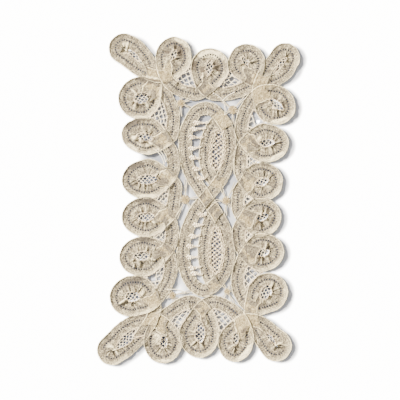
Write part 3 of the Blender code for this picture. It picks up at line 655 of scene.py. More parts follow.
def smooth_path(points, closed, step, multiple=1):
    """A centripetal Catmull-Rom curve through the points, in even steps.

    The number of steps is a whole multiple of the number given.
    """
    points = np.array(points, dtype=float)
    if closed:
        before, after, later = (np.roll(points, shift, 0) for shift in (1, -1, -2))
        start = points
    else:
        start, after = points[:-1], points[1:]
        before = np.vstack([2 * start[:1] - after[:1], start[:-1]])
        later = np.vstack([after[1:], 2 * after[-1:] - start[-1:]])
    knot_1, knot_2, knot_3 = (
        np.sqrt(lengths(way)) for way in (start - before, after - start, later - after))
    leaving = (start - before) / knot_1 - (after - before) / (knot_1 + knot_2)
    leaving = leaving * knot_2 + after - start
    arriving = (later - after) / knot_3 - (later - start) / (knot_2 + knot_3)
    arriving = arriving * knot_2 + after - start
    pieces = []
    for t in np.linspace(0, 1, CURVE_PARTS, endpoint=False):
        pieces.append((2 * t**3 - 3 * t**2 + 1) * start + (t**3 - 2 * t**2 + t) * leaving
                      + (3 * t**2 - 2 * t**3) * after + (t**3 - t**2) * arriving)
    curve = np.stack(pieces, axis=1).reshape(-1, 2)
    curve = np.vstack([curve, points[:1] if closed else points[-1:]])
    length = travelled(curve)[-1]
    steps = multiple * int(round(length / step / multiple))
    even = at_distances(curve, np.linspace(0, length, steps + 1))
    return even[:-1] if closed else even


def smoothed(values, spread, closed):
    """Values along a tape, each averaged with its neighbours within about spread places."""
    reach = int(math.ceil(spread * 2.5))
    weights = np.exp(-0.5 * (np.arange(-reach, reach + 1) / spread) ** 2)
    weights /= weights.sum()
    padded = np.pad(values, reach, mode="wrap" if closed else "edge")
    return np.convolve(padded, weights, mode="valid")


def line_noise(travel, length, cell, seed, closed=False):
    """Smooth noise from -1 to 1 along a tape, with lumps about cell long."""
    knots = max(4, int(round(length / cell)))
    values = np.random.default_rng(seed).uniform(-1, 1, knots + 2)
    where = travel / length * knots
    if not closed:
        where = np.clip(where, 0, knots)
    first = np.floor(where).astype(int)
    share = smooth_step(where - first)
    if closed:
        return values[first % knots] * (1 - share) + values[(first + 1) % knots] * share
    return values[first] * (1 - share) + values[first + 1] * share


def plane_noise(x, y, cell, seed, cells=96):
    """Smooth noise from -1 to 1 over the table, with lumps about cell across."""
    values = np.random.default_rng(seed).uniform(-1, 1, (cells, cells))
    column, row = x / cell + cells / 2, y / cell + cells / 2
    left, low = np.floor(column).astype(int), np.floor(row).astype(int)
    across, up = smooth_step(column - left), smooth_step(row - low)
    corner = [values[(left + i) % cells, (low + j) % cells] for i in (0, 1) for j in (0, 1)]
    return ((corner[0] * (1 - up) + corner[1] * up) * (1 - across)
            + (corner[2] * (1 - up) + corner[3] * up) * across)


# Laying the tapes --------------------------------------------------------------------------------

def loop_points(loop):
    """Points round one loop, counter-clockwise, from its entering to its returning limb."""
    ahead = pointing(math.radians(loop.heading))
    sweep = np.radians(np.linspace(-loop.enter, loop.leave, LOOP_POINTS))[:, None]
    return list((loop.x, loop.y) + loop.reach * np.cos(sweep) * ahead
                + loop.half * np.sin(sweep) * left_of(ahead))


def border_path(step, multiple=1):
    """The border's centre line, and for each of its points the loop it belongs to."""
    points = []
    for loop in LOOPS:
        points += loop_points(loop) + loop.run
    path = smooth_path(points, True, step, multiple)
    first = int(np.argmin(np.linalg.norm(path - BORDER_START, axis=1)))
    path = np.roll(path, -first, axis=0)
    middles = np.array([(loop.x, loop.y) for loop in LOOPS])
    owner = np.argmin(np.linalg.norm(path[:, None] - middles[None], axis=2), axis=1)
    return path, owner


def side_vectors(path, closed):
    """Unit vectors across a path, to its left."""
    if closed:
        along = np.roll(path, -1, axis=0) - np.roll(path, 1, axis=0)
    else:
        along = np.gradient(path, axis=0)
    along /= lengths(along)
    return left_of(along)


def resting_heights(paths, closed, owners, laps):
    """How high each tape's underside lies where it passes over other tapes, or over itself.

    A later tape, or a later part of one tape, lies on top, except in a loop whose row
    says that its entering limb does, and within a tape's lap at its start.
    """
    width = tape_width()
    counts = [len(path) for path in paths]
    starts = np.concatenate([[0], np.cumsum(counts)])
    points = np.vstack(paths)
    sides = np.vstack([side_vectors(path, ring) for path, ring in zip(paths, closed)])
    total = len(points)
    tape = np.repeat(np.arange(len(paths)), counts)
    loop = np.concatenate(owners)
    place = np.arange(total)
    order = place.copy()
    for start, lap in zip(starts, laps):
        order[start:start + int(lap / COURSE_STEP)] += total
    near = np.zeros((total, total), dtype=bool)
    for share in np.linspace(-1, 1, 7):
        edge = points + sides * share * width / 2
        distance = np.linalg.norm(edge[:, None] - points[None], axis=2)
        near |= distance < width / 2 + TOUCH_GAP
    near |= near.T
    apart = np.abs(place[:, None] - place[None])
    spans = [slice(first, last) for first, last in zip(starts, starts[1:])]
    for span, count, ring in zip(spans, counts, closed):
        if ring:
            apart[span, span] = np.minimum(apart[span, span], count - apart[span, span])
    bend = int(BEND_WIDTHS * width / COURSE_STEP)
    near &= (apart > bend) | (tape[:, None] != tape[None])
    entering_over = np.array([not row.over for row in LOOPS] + [False])
    flipped = (loop[:, None] == loop[None]) & entering_over[loop][:, None]
    above = (order[:, None] > order[None]) ^ flipped
    upper, lower = np.nonzero(near & above)
    heights = np.zeros(total)
    settled = False
    while not settled:
        before = heights.copy()
        np.maximum.at(heights, upper, before[lower] + LAYER_RISE)
        for span, ring in zip(spans, closed):
            own = heights[span]
            for shift in (1, -1):
                beside = np.roll(own, shift) - LIFT_SLOPE * COURSE_STEP
                if not ring:
                    beside[0 if shift == 1 else -1] = 0
                np.maximum(own, beside, out=own)
        settled = np.array_equal(before, heights)
    return [heights[span] for span in spans]


def inner_spread(looped, tucked):
    """How much wider than its weave the inner half of a bend spreads."""
    return 1 + 0.45 * looped + 0.9 * tucked


def bend_room(bend):
    """How far a tape may reach to the inside of a bend."""
    return BEND_FILL / np.maximum(bend, GENTLEST_BEND)


def column(rows, label, owner):
    """One column of a table, read at the row that each place belongs to."""
    return np.array([getattr(row, label) for row in rows])[owner]


def room_to_eyes(path, side, owner):
    """How far the tape may spread to its left before it comes to the oval of its loop's eye."""
    by_loop = {eye.loop: eye for eye in EYES}
    eyes = [by_loop[loop.name] for loop in LOOPS]
    ovals = (column(eyes, label, owner)[:, None] for label in ("x", "y", "long", "wide", "turn"))
    reach = np.arange(0, EYE_REACH, EYE_STEP)
    x, y = (path[:, part] + side[:, part] * reach for part in ([0], [1]))
    inside = oval_share(x, y, *ovals) < 1
    return np.where(inside.any(axis=1), reach[inside.argmax(axis=1)], NO_EYE)


def loop_traits(path, side, owner):
    """How far each place is in a loop, in its lower limb and in its upper one, and its room."""
    x, y, reach, over, heading = (
        column(LOOPS, label, owner) for label in ("x", "y", "reach", "over", "heading"))
    away = path - np.stack([x, y], axis=1)
    looped = falling(np.linalg.norm(away, axis=1), reach + 6, LOOP_RISE)
    heading = np.radians(heading)
    entering = away[:, 0] * np.sin(heading) > away[:, 1] * np.cos(heading)
    lower = entering == over
    back = -away[:, 0] * np.cos(heading) - away[:, 1] * np.sin(heading)
    tucked = smoothed((lower * looped) * rising(back, 1, 6), SWAY, True)
    upper = smoothed((~lower * looped) * rising(back, -2, 5), SWAY, True)
    return looped, tucked, upper, room_to_eyes(path, side, owner)


Ribbon = namedtuple("Ribbon", "name node closed length centre side height bend turning looped tucked "
                              "upper room left travel")


@lru_cache(maxsize=None)
def ribbons():
    """The four tapes as laid: centre line, side vectors, resting height and bend at each station."""
    width = tape_width()
    step = bpy.context.scene.lace_tape.pinhole_pitch / MM / PINHOLE_PARTS
    border, owner = border_path(COURSE_STEP)
    closed = [tape.points is None for tape in TAPES]
    coarse = [border if ring else smooth_path(tape.points, False, COURSE_STEP)
              for tape, ring in zip(TAPES, closed)]
    owners = [owner if ring else np.full(len(path), len(LOOPS))
              for path, ring in zip(coarse, closed)]
    levels = resting_heights(coarse, closed, owners, laps=[tape.lap for tape in TAPES])
    made = []
    for tape, ring, level in zip(TAPES, closed, levels):
        if ring:
            path, owner = border_path(step, PINHOLE_PARTS)
            side = side_vectors(path, ring)
            looped, tucked, upper, room = loop_traits(path, side, owner)
            level = np.append(level, level[0])
        else:
            path = smooth_path(tape.points, False, step, PINHOLE_PARTS)
            side = side_vectors(path, ring)
            looped = tucked = upper = np.zeros(len(path))
            room = looped + NO_EYE
        share = np.linspace(0, 1, len(path), endpoint=not ring)
        height = np.interp(share, np.linspace(0, 1, len(level)), level)
        turn = np.arctan2(side[:, 1], side[:, 0])
        turned = np.diff(turn, append=turn[:1] if ring else turn[-1:])
        turned = (turned + math.pi) % (2 * math.pi) - math.pi
        height, bend, turning = (smoothed(values, spread, ring) for values, spread in (
            (height, 2.2), (turned / step, 4), (turned / step, 10)))
        left = np.minimum(width / 2 * inner_spread(looped, tucked),
                          np.minimum(room, bend_room(bend)))
        travel = np.arange(len(path)) * step
        kept = np.isin(np.arange(len(path)) % PINHOLE_PARTS, STATION_PARTS)
        made.append(Ribbon(tape.name, tape.node, ring, len(path) * step, *(values[kept] for values in (
            path, side, height, bend, turning, looped, tucked, upper, room, left, travel))))
    return made


def layering(ribbon, x, y):
    """How far each point lies over another tape, under one, or close beside a higher one, 0 to 1.

    Then come the line of a lower tape's edge, a painted highlight (1) where it faces the light and
    painted shade (-1) where it doesn't, and how high the tapes right below the point hold it.
    """
    width = tape_width()
    over, under, beside, painted_edge_light, held = (np.zeros(x.shape) for _ in range(5))
    for other in ribbons():
        for first in range(0, len(other.centre), LAYER_PART):
            part = slice(first, first + LAYER_PART, LAYER_EVERY)
            away_x = x[..., None] - other.centre[part, 0]
            away_y = y[..., None] - other.centre[part, 1]
            across = away_x * other.side[part, 0] + away_y * other.side[part, 1]
            along = np.abs(away_x * other.side[part, 1] - away_y * other.side[part, 0])
            past = np.abs(across) - np.where(across > 0, other.left[part], width / 2)
            abreast = falling(along, 2.4, 0.8)
            near = falling(past, 0.3, 0.6) * abreast
            close = falling(past, 2.4, 1.9) * abreast
            if other is ribbon:
                apart = np.abs(ribbon.travel[:, None] - ribbon.travel[part])
                if ribbon.closed:
                    apart = np.minimum(apart, ribbon.length - apart)
                elsewhere = (apart > BEND_WIDTHS * width)[:, None, :]
                near *= elsewhere
                close *= elsewhere
            climb = ribbon.height[:, None, None] - other.height[part]
            on_it = climb > 0.6 * LAYER_RISE
            over = np.maximum(over, (near * on_it).max(axis=2))
            below = other.height[part] + LAYER_RISE
            held = np.maximum(held, (near * on_it * below).max(axis=2))
            away = np.sign(across) * -(other.side[part] @ np.array(FOLD_SLANT))
            line = np.exp(-(past / 0.8) ** 2) * abreast * (near > 0) * on_it
            pick = line.argmax(axis=2)[..., None]
            line, away = (np.take_along_axis(each, pick, 2)[..., 0] for each in (line, away))
            painted_edge_light = np.where(line > np.abs(painted_edge_light), line * away, painted_edge_light)
            under = np.maximum(under, (near * (climb < -0.6 * LAYER_RISE)).max(axis=2))
            beside = np.maximum(beside, (close * (climb < -0.5 * LAYER_RISE)).max(axis=2))
    return over, under, beside, painted_edge_light, held


def creased(x, y):
    """How much the folds raise the cloth at each place."""
    rise = np.zeros(np.shape(x))
    for row in CREASES:
        way = np.array((row.to_x - row.x, row.to_y - row.y))
        long = np.hypot(*way)
        share = ((x - row.x) * way[0] + (y - row.y) * way[1]) / (way @ way)
        across = left_of(way) / long
        across *= np.sign(across @ FOLD_SLANT)
        bow = 0.12 * long * np.sin(np.clip(share, 0, 1) * math.pi * 1.5 + row.x)
        away = (x - row.x) * across[0] + (y - row.y) * across[1] - bow
        ends = smooth_step((share + 0.15) * 5) * smooth_step((1.15 - share) * 5)
        ridge = np.exp(-(away / row.width) ** 2) - 0.65 * np.exp(-(away / row.width - 1.7) ** 2)
        rise += row.height * 1.3 * ridge * ends
    return rise


def marked(rows, x, y):
    """How strong the marks of a table are at each place."""
    found = np.zeros(np.shape(x))
    ragged = 1 + 0.25 * plane_noise(x, y, 2.5, 21)
    for row in rows:
        found += row.depth * falling(oval_share(x, y, *row[:-1]) * ragged, 1.25, 0.6)
    return found


# In a tape's shape, relief is the painted light and shade of its colour, not its height.
SectionShape = namedtuple("SectionShape", "x y low relief along across doubled shaded gathered pinned")


@lru_cache(maxsize=None)
def shaped(index):
    """Where each point of a tape lies: its stations by the points across it."""
    tape = bpy.context.scene.lace_tape
    ribbon = ribbons()[index]
    across = np.tile(SECTION, (len(ribbon.centre), 1))
    share = across / (tape_width() / 2)
    looped, turning = ribbon.looped[:, None], ribbon.turning[:, None]
    bend = np.maximum(looped, 0.45 * rising(np.abs(turning), 0, 0.07))
    inward = np.where(looped > 0.1, share, np.sign(turning) * share)
    inner, outer = np.clip(inward, 0, 1) * bend, np.clip(-inward, 0, 1) * bend

    def noise(cell, seed, drift=0.0):
        travel = ribbon.travel[:, None] + drift * across
        return line_noise(travel, ribbon.length, cell, 100 * (index + 1) + seed, ribbon.closed)

    # Pleats run in from the inner edge, and ripples cross the whole tape.
    slack = noise(9, 3)
    fine, broad = noise(2.0, 1, 0.2), noise(3.6, 2, -0.2)
    ridge = (1 - np.abs(noise(5.5, 6, 0.25))) ** 4 - 0.2
    hollow = (1 - np.abs(noise(7.5, 7, -0.3))) ** 4 - 0.2
    smooth = 1 - 0.8 * ribbon.upper[:, None]
    drawn = inner ** 0.7
    pleats = (fine * 0.8 + broad * 0.3 + ridge * 0.4 - hollow * 0.3) * drawn * smooth
    ripples = (fine * 0.25 + broad * 0.4) * (0.35 + 0.3 * outer)
    relief = pleats + ripples * 0.5

    # The inner half of a bend spreads, its edge drawn up by stitches, and both edges wander.
    spread = 1 + (inner_spread(looped, ribbon.tucked[:, None]) - 1) * np.clip(share * 3, 0, 1)
    wander = fine * (0.15 + 0.4 * inner * smooth) + broad * 0.2 * smooth
    offset = across * spread * (1 + 0.018 * slack) + np.sign(across) * np.abs(share) ** 3 * wander
    room = np.minimum(bend_room(np.abs(ribbon.bend)), ribbon.room)[:, None]
    offset = np.where(inward > 0, np.clip(offset, -room, room), offset)
    x = ribbon.centre[:, :1] + ribbon.side[:, :1] * offset
    y = ribbon.centre[:, 1:] + ribbon.side[:, 1:] * offset

    # What lies below holds it up, and where it lies free it puckers, curls and folds.
    over, under, beside, painted_edge_light, held = layering(ribbon, x, y)
    free = 1 - 0.9 * np.maximum(over, under)
    folds = creased(x, y)
    gathers = tape.gather / MM * (relief + 0.5 * drawn * smooth)
    curl = tape.curl / MM * outer ** 2.0 * (0.75 + 0.25 * slack)
    lift = (gathers + curl + 0.35 * inner ** 3 * smooth + folds) * free
    wave = sum(plane_noise(x, y, cell, seed) * strength
               for cell, seed, strength in ((13, 7, 0.6), (6, 8, 0.4), (2.6, 9, 0.6)))
    selvedge = np.exp(-((np.abs(share) - 0.925) / 0.05) ** 2)
    groove = np.exp(-(across / 1.1) ** 2) * (1 - 0.8 * over)
    lift += tape.unevenness / MM * (wave + 0.7) + 0.4 * selvedge - 0.3 * groove + 0.45 * over
    lift = lift * (1 - 0.4 * over) + 0.9 * beside * (1 - over)
    base = np.maximum(held, 0.5 * ribbon.height[:, None])
    low = np.maximum(base + lift, TABLE_GAP)

    # A pinhole stays open unless its thread is broken or another tape lies above or below it.
    centre = len(SECTION) // 2
    pinned = (noise(14, 5)[:, 0] > -0.8) & (over[:, centre] < 0.5) & (beside[:, centre] < 0.6)
    # Painted light and shade for the colour, carried as relief: hollows of pleats and folds darker,
    # their crests paler.
    sunlit = np.clip(-ribbon.side @ np.array(FOLD_SLANT), 0, 1)[:, None]
    tone = np.where(relief < 0, relief * 0.6, relief) + 0.6 * folds
    # The outer band of a bend painted paler, the more on its side that faces the light; a painted
    # highlight where the edge of a tape below faces the light, painted shade where it doesn't.
    tone = tone + outer * (0.3 + 0.4 * sunlit) + 0.65 * painted_edge_light
    # The marks add painted shade and highlights, and the pinhole groove is painted darker.
    tone += marked(PAINTED_SHADE_MARKS + PAINTED_HIGHLIGHT_MARKS, x, y) - 0.4 * groove ** 3
    travel = ribbon.travel[:, None] + 0 * across
    gathered = inner ** 0.5 * free * smooth
    return SectionShape(x, y, low, tone, travel, share, over, beside, gathered, pinned)


# Turning shapes into meshes ----------------------------------------------------------------------

def write_readings(mesh, readings):
    """Numbers that the mesh carries at each of its points."""
    for label, values in readings.items():
        data = mesh.attributes.new(label, "FLOAT", "POINT").data
        data.foreach_set("value", np.asarray(values, np.float32).ravel())


def add_object(name, data):
    made = bpy.data.objects.new(name, data)
    bpy.context.scene.collection.objects.link(made)
    return made


def add_piece(name, vertices, faces, readings, material, node=None, sharp=50):
    """A piece of the mat, riding on its body, that stands for its node if it has one."""
    mesh = bpy.data.meshes.new(name)
    mesh.from_pydata((np.asarray(vertices) * MM).tolist(), [], faces)
    write_readings(mesh, readings)
    mesh.validate()
    mesh.shade_smooth()
    mesh.set_sharp_from_angle(angle=math.radians(sharp))
    mesh.materials.append(material)
    piece = add_object(name, mesh)
    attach(piece, "root")
    if node:
        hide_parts(node)
    return piece


def add_ribbon(index):
    """One tape, with its pinholes cut through."""
    ribbon, shape = ribbons()[index], shaped(index)
    count, across = shape.x.shape
    low = np.stack([shape.x, shape.y, shape.low], axis=2).reshape(-1, 3)
    total = len(low)
    pin = across // 2 - 1
    before_pinhole = np.arange(count) % len(STATION_PARTS) == 0
    open_hole = before_pinhole & shape.pinned
    station = np.arange(count if ribbon.closed else count - 1)
    following = (station + 1) % count
    quads = []
    for place in range(across - 1):
        corner = np.stack([station * across + place, following * across + place,
                           following * across + place + 1, station * across + place + 1], axis=1)
        quads.append(corner[~open_hole[station]] if place == pin else corner)
    top = np.vstack(quads)[:, ::-1] + total
    edges = np.stack([top, np.roll(top, -1, axis=1)], axis=2).reshape(-1, 2).astype(np.int64)
    key, back = edges @ (2 * total, 1), edges @ (1, 2 * total)
    rim = edges[~np.isin(key, back)]
    walls = np.stack([rim[:, 1], rim[:, 0], rim[:, 0] - total, rim[:, 1] - total], axis=1)
    faces = np.vstack([top, top[:, ::-1] - total, walls]).tolist()
    # Painted shade round each pinhole, fainter round one that is closed.
    rimmed = np.zeros(shape.x.shape)
    for holes, depth in ((before_pinhole & ~shape.pinned, CLOSED_RIM), (open_hole, 1)):
        places = np.flatnonzero(holes)
        rimmed[np.concatenate([places, (places + 1) % count])[:, None], [pin, pin + 1]] = depth
    values = shape._asdict() | {"stain": marked(STAINS_AND_SHADE, shape.x, shape.y), "pin": rimmed}
    readings = {label: np.tile(values[label].ravel(), 2) for label in TAPE_READINGS}
    vertices = np.vstack([low, low + (0, 0, tape_thickness())])
    piece = add_piece(ribbon.name, vertices, faces, readings, tape_cloth(), ribbon.node)
    return piece


@lru_cache(maxsize=None)
def knot_ball(rings=4, sides=6):
    """The corners and faces of a ball of radius 1, each ring turned half a step on the last."""
    vertices = [(0, 0, 1)]
    for ring in range(1, rings):
        slant = math.pi * ring / rings
        for side in range(sides):
            turn = 2 * math.pi * (side + ring / 2) / sides
            vertices.append((math.sin(slant) * math.cos(turn), math.sin(slant) * math.sin(turn),
                             math.cos(slant)))
    vertices.append((0, 0, -1))
    faces = []
    for side in range(sides):
        beside = (side + 1) % sides
        faces.append([0, 1 + side, 1 + beside])
        for ring in range(rings - 2):
            first = 1 + ring * sides
            faces.append([first + side, first + sides + side, first + sides + beside, first + beside])
        last = 1 + (rings - 2) * sides
        faces.append([last + side, len(vertices) - 1, last + beside])
    return np.array(vertices), faces


class ThreadWork:
    """Gathers threads and knots and makes them into one piece."""

    def __init__(self, seed):
        self.rng = np.random.default_rng(seed)
        self.vertices, self.faces, self.relief, self.toned = [], [], [], []
        self.count = 0

    def _add(self, vertices, faces, relief, toned):
        self.vertices.append(vertices)
        self.faces += [[corner + self.count for corner in face] for face in faces]
        self.relief.append(relief)
        self.toned.append(np.full(len(vertices), float(toned)))
        self.count += len(vertices)

    def thread(self, flat, height, diameter, step=0.5, toned=0, soiled=0):
        """A two-ply thread through places at a height, its relief high on each ply and low between
        them, for painted shade there; the last argument lowers all of it, painted shade over the whole
        thread.
        """
        points = np.insert(flat, 2, height, axis=1)
        length = travelled(points)[-1]
        if length < step * 2:
            return
        places = np.linspace(0, length, max(3, int(length / step) + 1))
        line = at_distances(points, places)
        line[1:-1] = (line[:-2] + 2 * line[1:-1] + line[2:]) / 4
        line[:, 2] = np.maximum(line[:, 2], diameter * 0.6)
        way = np.gradient(line, axis=0)
        way /= lengths(way) + 1e-9
        left = np.insert(left_of(way), 2, 0, axis=1)
        left /= lengths(left) + 1e-9
        up = np.cross(way, left) * -1
        up[up[:, 2] < 0] *= -1
        sides = THREAD_SIDES
        turns = np.linspace(0, 2 * math.pi, sides, endpoint=False)
        ply = 2 * turns[None] - places[:, None] * 2 * math.pi / TWIST + self.rng.uniform(0, 6)
        bulge = np.cos(ply)
        radius = diameter / 2 * (1 + 0.2 * bulge)
        ring = (line[:, None] + left[:, None] * (radius * np.cos(turns))[..., None]
                + up[:, None] * (radius * np.sin(turns))[..., None])
        corner = np.arange((len(line) - 1) * sides).reshape(-1, sides)
        beside = np.roll(corner, -1, axis=1)
        around = np.stack([corner, corner + sides, beside + sides, beside], axis=2).reshape(-1, 4)
        start = list(range(sides))
        end = [(len(line) - 1) * sides + turn for turn in reversed(start)]
        faces = around.tolist() + [start, end]
        self._add(ring.reshape(-1, 3), faces, bulge.ravel() - soiled, toned)

    def knot(self, place, radius, toned=0):
        """A small worked knot, a lumpy ball a little flattened."""
        ball, faces = knot_ball()
        lumpy = ball * self.rng.uniform(0.8, 1.2, (len(ball), 1))
        # Relief low on the knot's underside, painted shade there, with a little at random.
        relief = 1.6 * ball[:, 2] - 0.6 + self.rng.uniform(-0.4, 0.4, len(ball))
        size = np.array([radius, radius, radius * 0.8])
        self._add(np.array(place) + lumpy * size, faces, relief, toned)

    def finish(self, name, node=None, slot="thread"):
        readings = {"relief": np.concatenate(self.relief), "toned": np.concatenate(self.toned)}
        return add_piece(name, np.vstack(self.vertices), self.faces, readings, thread_cloth(slot),
                         node, sharp=80)


# Gaps between the tapes --------------------------------------------------------------------------

@lru_cache(maxsize=None)
def edge_tree():
    """The points of every tape's edges, for finding where a filling ends and how high it is sewn."""
    places = []
    for index in range(len(ribbons())):
        shape = shaped(index)
        for side in (0, -1):
            line = np.stack([each[:, side] for each in (shape.x, shape.y, shape.low)], axis=1)
            places += [line, (line[1:] + line[:-1]) / 2]
    places = np.vstack(places)
    tree = KDTree(len(places))
    for index, (x, y, _) in enumerate(places):
        tree.insert((x, y, 0), index)
    tree.balance()
    return tree, places[:, 2]


def sewn_height(x, y):
    """How high the top of the tape lies at its nearest edge."""
    tree, heights = edge_tree()
    return heights[tree.find((x, y, 0))[1]] + tape_thickness()


def free_reach(x, y, angle, limit):
    """How far a straight line runs from a place in a gap before it comes to the edge of a tape."""
    tree, _ = edge_tree()
    for length in np.arange(RAY_STEP, limit, RAY_STEP):
        tip = (x + length * math.cos(angle), y + length * math.sin(angle), 0)
        if tree.find(tip)[2] < EDGE_NEAR:
            return length + EDGE_LAP
    return limit


class Gap:
    """An open place between tapes: its outline, its middle, and how high the tape lies round it."""

    def __init__(self, ring, middle=None):
        self.ring = np.array(ring, dtype=float)
        self.middle = self.ring.mean(axis=0) if middle is None else middle
        self.levels = np.array([sewn_height(x, y) for x, y in self.ring])

    def height(self, points, sag=0.55):
        """The height of each place in the gap, between its sewn edges."""
        points = np.asarray(points)
        distance = np.linalg.norm(points[:, None] - self.ring[None], axis=2) + 0.05
        weight = distance ** -3
        level = (weight * self.levels).sum(axis=1) / weight.sum(axis=1)
        away = rising(distance.min(axis=1), 0, 4)
        return level * (1 - sag * away) + 0.1

    def holds(self, points, holes=()):
        """Whether each place is inside the outline and outside the holes."""
        x, y = np.asarray(points).T
        inside = np.zeros(len(x), dtype=bool)
        for (ax, ay), (bx, by) in zip(self.ring, np.roll(self.ring, -1, axis=0)):
            crossing = (ay > y) != (by > y)
            meets = ax + (y - ay) / np.where(by == ay, 1e-9, by - ay) * (bx - ax)
            inside ^= crossing & (x < meets)
        return inside & ~in_hole(points, holes)

    def edge_between(self, inner, outer):
        """Where the way from an inner to an outer place crosses the outline."""
        low, high = np.array(inner), np.array(outer)
        for _ in range(9):
            middle = (low + high) / 2
            if self.holds(middle[None])[0]:
                low = middle
            else:
                high = middle
        return low


@lru_cache(maxsize=None)
def gap_round(x, y, limit):
    """The gap as straight lines out from its middle find it."""
    middle = np.array([x, y], dtype=float)
    angles = np.linspace(0, 2 * math.pi, GAP_RAYS, endpoint=False)
    reach = np.array([free_reach(x, y, angle, limit) for angle in angles])
    return Gap(middle + pointing(angles) * reach[:, None], middle)


def eye_gap(eye):
    return gap_round(eye.x, eye.y, eye.long + EYE_MARGIN)


def net_gap(net):
    return gap_round(net.x, net.y, net.limit)


def in_hole(points, holes):
    """Whether each place is in one of the holes: middle and half sizes of an oval."""
    points = np.asarray(points)
    found = np.zeros(len(points), dtype=bool)
    for hole in holes:
        found |= oval_share(*points.T, *hole) < 0.9
    return found


def net_rows(gap, heading, along, across, rng, holes, jitter):
    """The rows of a net, each zigzagging from one neighbour to the other, and its knots."""
    u = pointing(math.radians(heading))
    w = left_of(u)
    local = gap.ring - gap.middle
    low_u, high_u = (local @ u).min(), (local @ u).max()
    low_w, high_w = (local @ w).min(), (local @ w).max()
    count = max(1, int(round((high_w - low_w) / across)))
    pitch = (high_w - low_w) / count
    steps = np.arange(int(math.floor(low_u / along)) - 1, int(math.ceil(high_u / along)) + 2)
    rows, knots = [], []
    for row in range(count + 1):
        swing = np.where((steps + row) % 2 == 0, 0.42, -0.42) * pitch
        far = steps * along + rng.uniform(-jitter, jitter, len(steps)) * along
        up = low_w + pitch * row + swing + rng.uniform(-jitter, jitter, len(steps)) * pitch
        points = gap.middle + far[:, None] * u + up[:, None] * w
        inside, opened = gap.holds(points, holes), in_hole(points, holes)
        run = []
        for index in range(len(points)):
            if inside[index]:
                if not run and index and not opened[index - 1]:
                    run.append(gap.edge_between(points[index], points[index - 1]))
                run.append(points[index])
                if (steps[index] + row) % 2 == 0:
                    knots.append(points[index] + w * 0.08 * pitch)
            elif run:
                if not opened[index]:
                    run.append(gap.edge_between(points[index - 1], points[index]))
                rows.append(np.array(run))
                run = []
    return rows, knots


def fill_net(work, gap, heading, cell, style, holes=()):
    """The rows of a net as threads, with a knot where two rows meet."""
    size = thread_size()
    rows, knots = net_rows(gap, heading, *cell, work.rng, holes, style.jitter)
    for row in rows:
        if len(row) > 1:
            length = travelled(row)[-1]
            fine = at_distances(row, np.linspace(0, length, max(2, int(length / 0.6) + 1)))
            height = gap.height(fine) + work.rng.uniform(-0.1, 0.1)
            work.thread(fine, height, size * style.thread, toned=style.toned, soiled=style.soiled)
    if knots:
        for place, height in zip(knots, gap.height(np.array(knots))):
            radius = size * style.knot * work.rng.uniform(0.8, 1.2)
            toned = np.clip(style.toned + work.rng.uniform(-style.mixed, style.mixed), 0, 1)
            work.knot((*place, height), radius, toned)


def whip_edge(work, gap, style):
    """Stitches over the tape's edge all round a gap."""
    ring = np.vstack([gap.ring, gap.ring[:1]])
    known = travelled(ring)
    count = max(8, int(known[-1] / style.pitch) * 2)
    places = np.linspace(0, known[-1], count, endpoint=False)
    line = at_distances(ring, places)
    level = np.interp(places, known, np.append(gap.levels, gap.levels[0]))
    outward = line - gap.middle
    outward /= lengths(outward) + 1e-9
    even = np.arange(count) % 2 == 0
    swing = np.where(even, style.out, style.back) + work.rng.uniform(-0.3, 0.3, count)
    rise = np.where(even, 0.4, -0.1) + work.rng.uniform(-0.1, 0.15, count)
    work.thread(line + outward * swing[:, None], level + rise, thread_size() * style.edge_thread,
                step=0.45, toned=style.edge_toned)


def work_netting(seed, name, node, gap, heading, cell, style, holes=()):
    """One net with the stitches round it."""
    work = ThreadWork(seed)
    fill_net(work, gap, heading, cell, style, holes)
    whip_edge(work, gap, style)
    return work.finish(name, node)


# Pieces ------------------------------------------------------------------------------------------

def work_eye(order, eye):
    return work_netting(1000 + order, "netted_eye_" + eye.loop, "eye_" + eye.loop, eye_gap(eye),
                        eye.turn, EYE_CELL, NETTING["eye"])


def work_net(order, net):
    return work_netting(2000 + order, "worked_" + net.name, net.name, net_gap(net), net.heading,
                        (net.along, net.across), NETTING["net"], net.holes)


def strip_edges(strip):
    """Rows up a leaf's filling: y, and x of its left and right edges."""
    spine = np.array(strip.spine)
    order = np.argsort(spine[:, 1])
    found = []
    for y in np.linspace(spine[:, 1].min(), spine[:, 1].max(), STRIP_ROWS):
        x = float(np.interp(y, spine[order, 1], spine[order, 0]))
        found.append((y, x - free_reach(x, y, math.pi, STRIP_REACH),
                      x + free_reach(x, y, 0, STRIP_REACH)))
    return np.array(found)


def strip_gap(strip, edges):
    over = 0 if strip.bars else LENS_LAP
    return Gap([(left - over, y) for y, left, _ in edges]
               + [(right + over, y) for y, _, right in edges[::-1]])


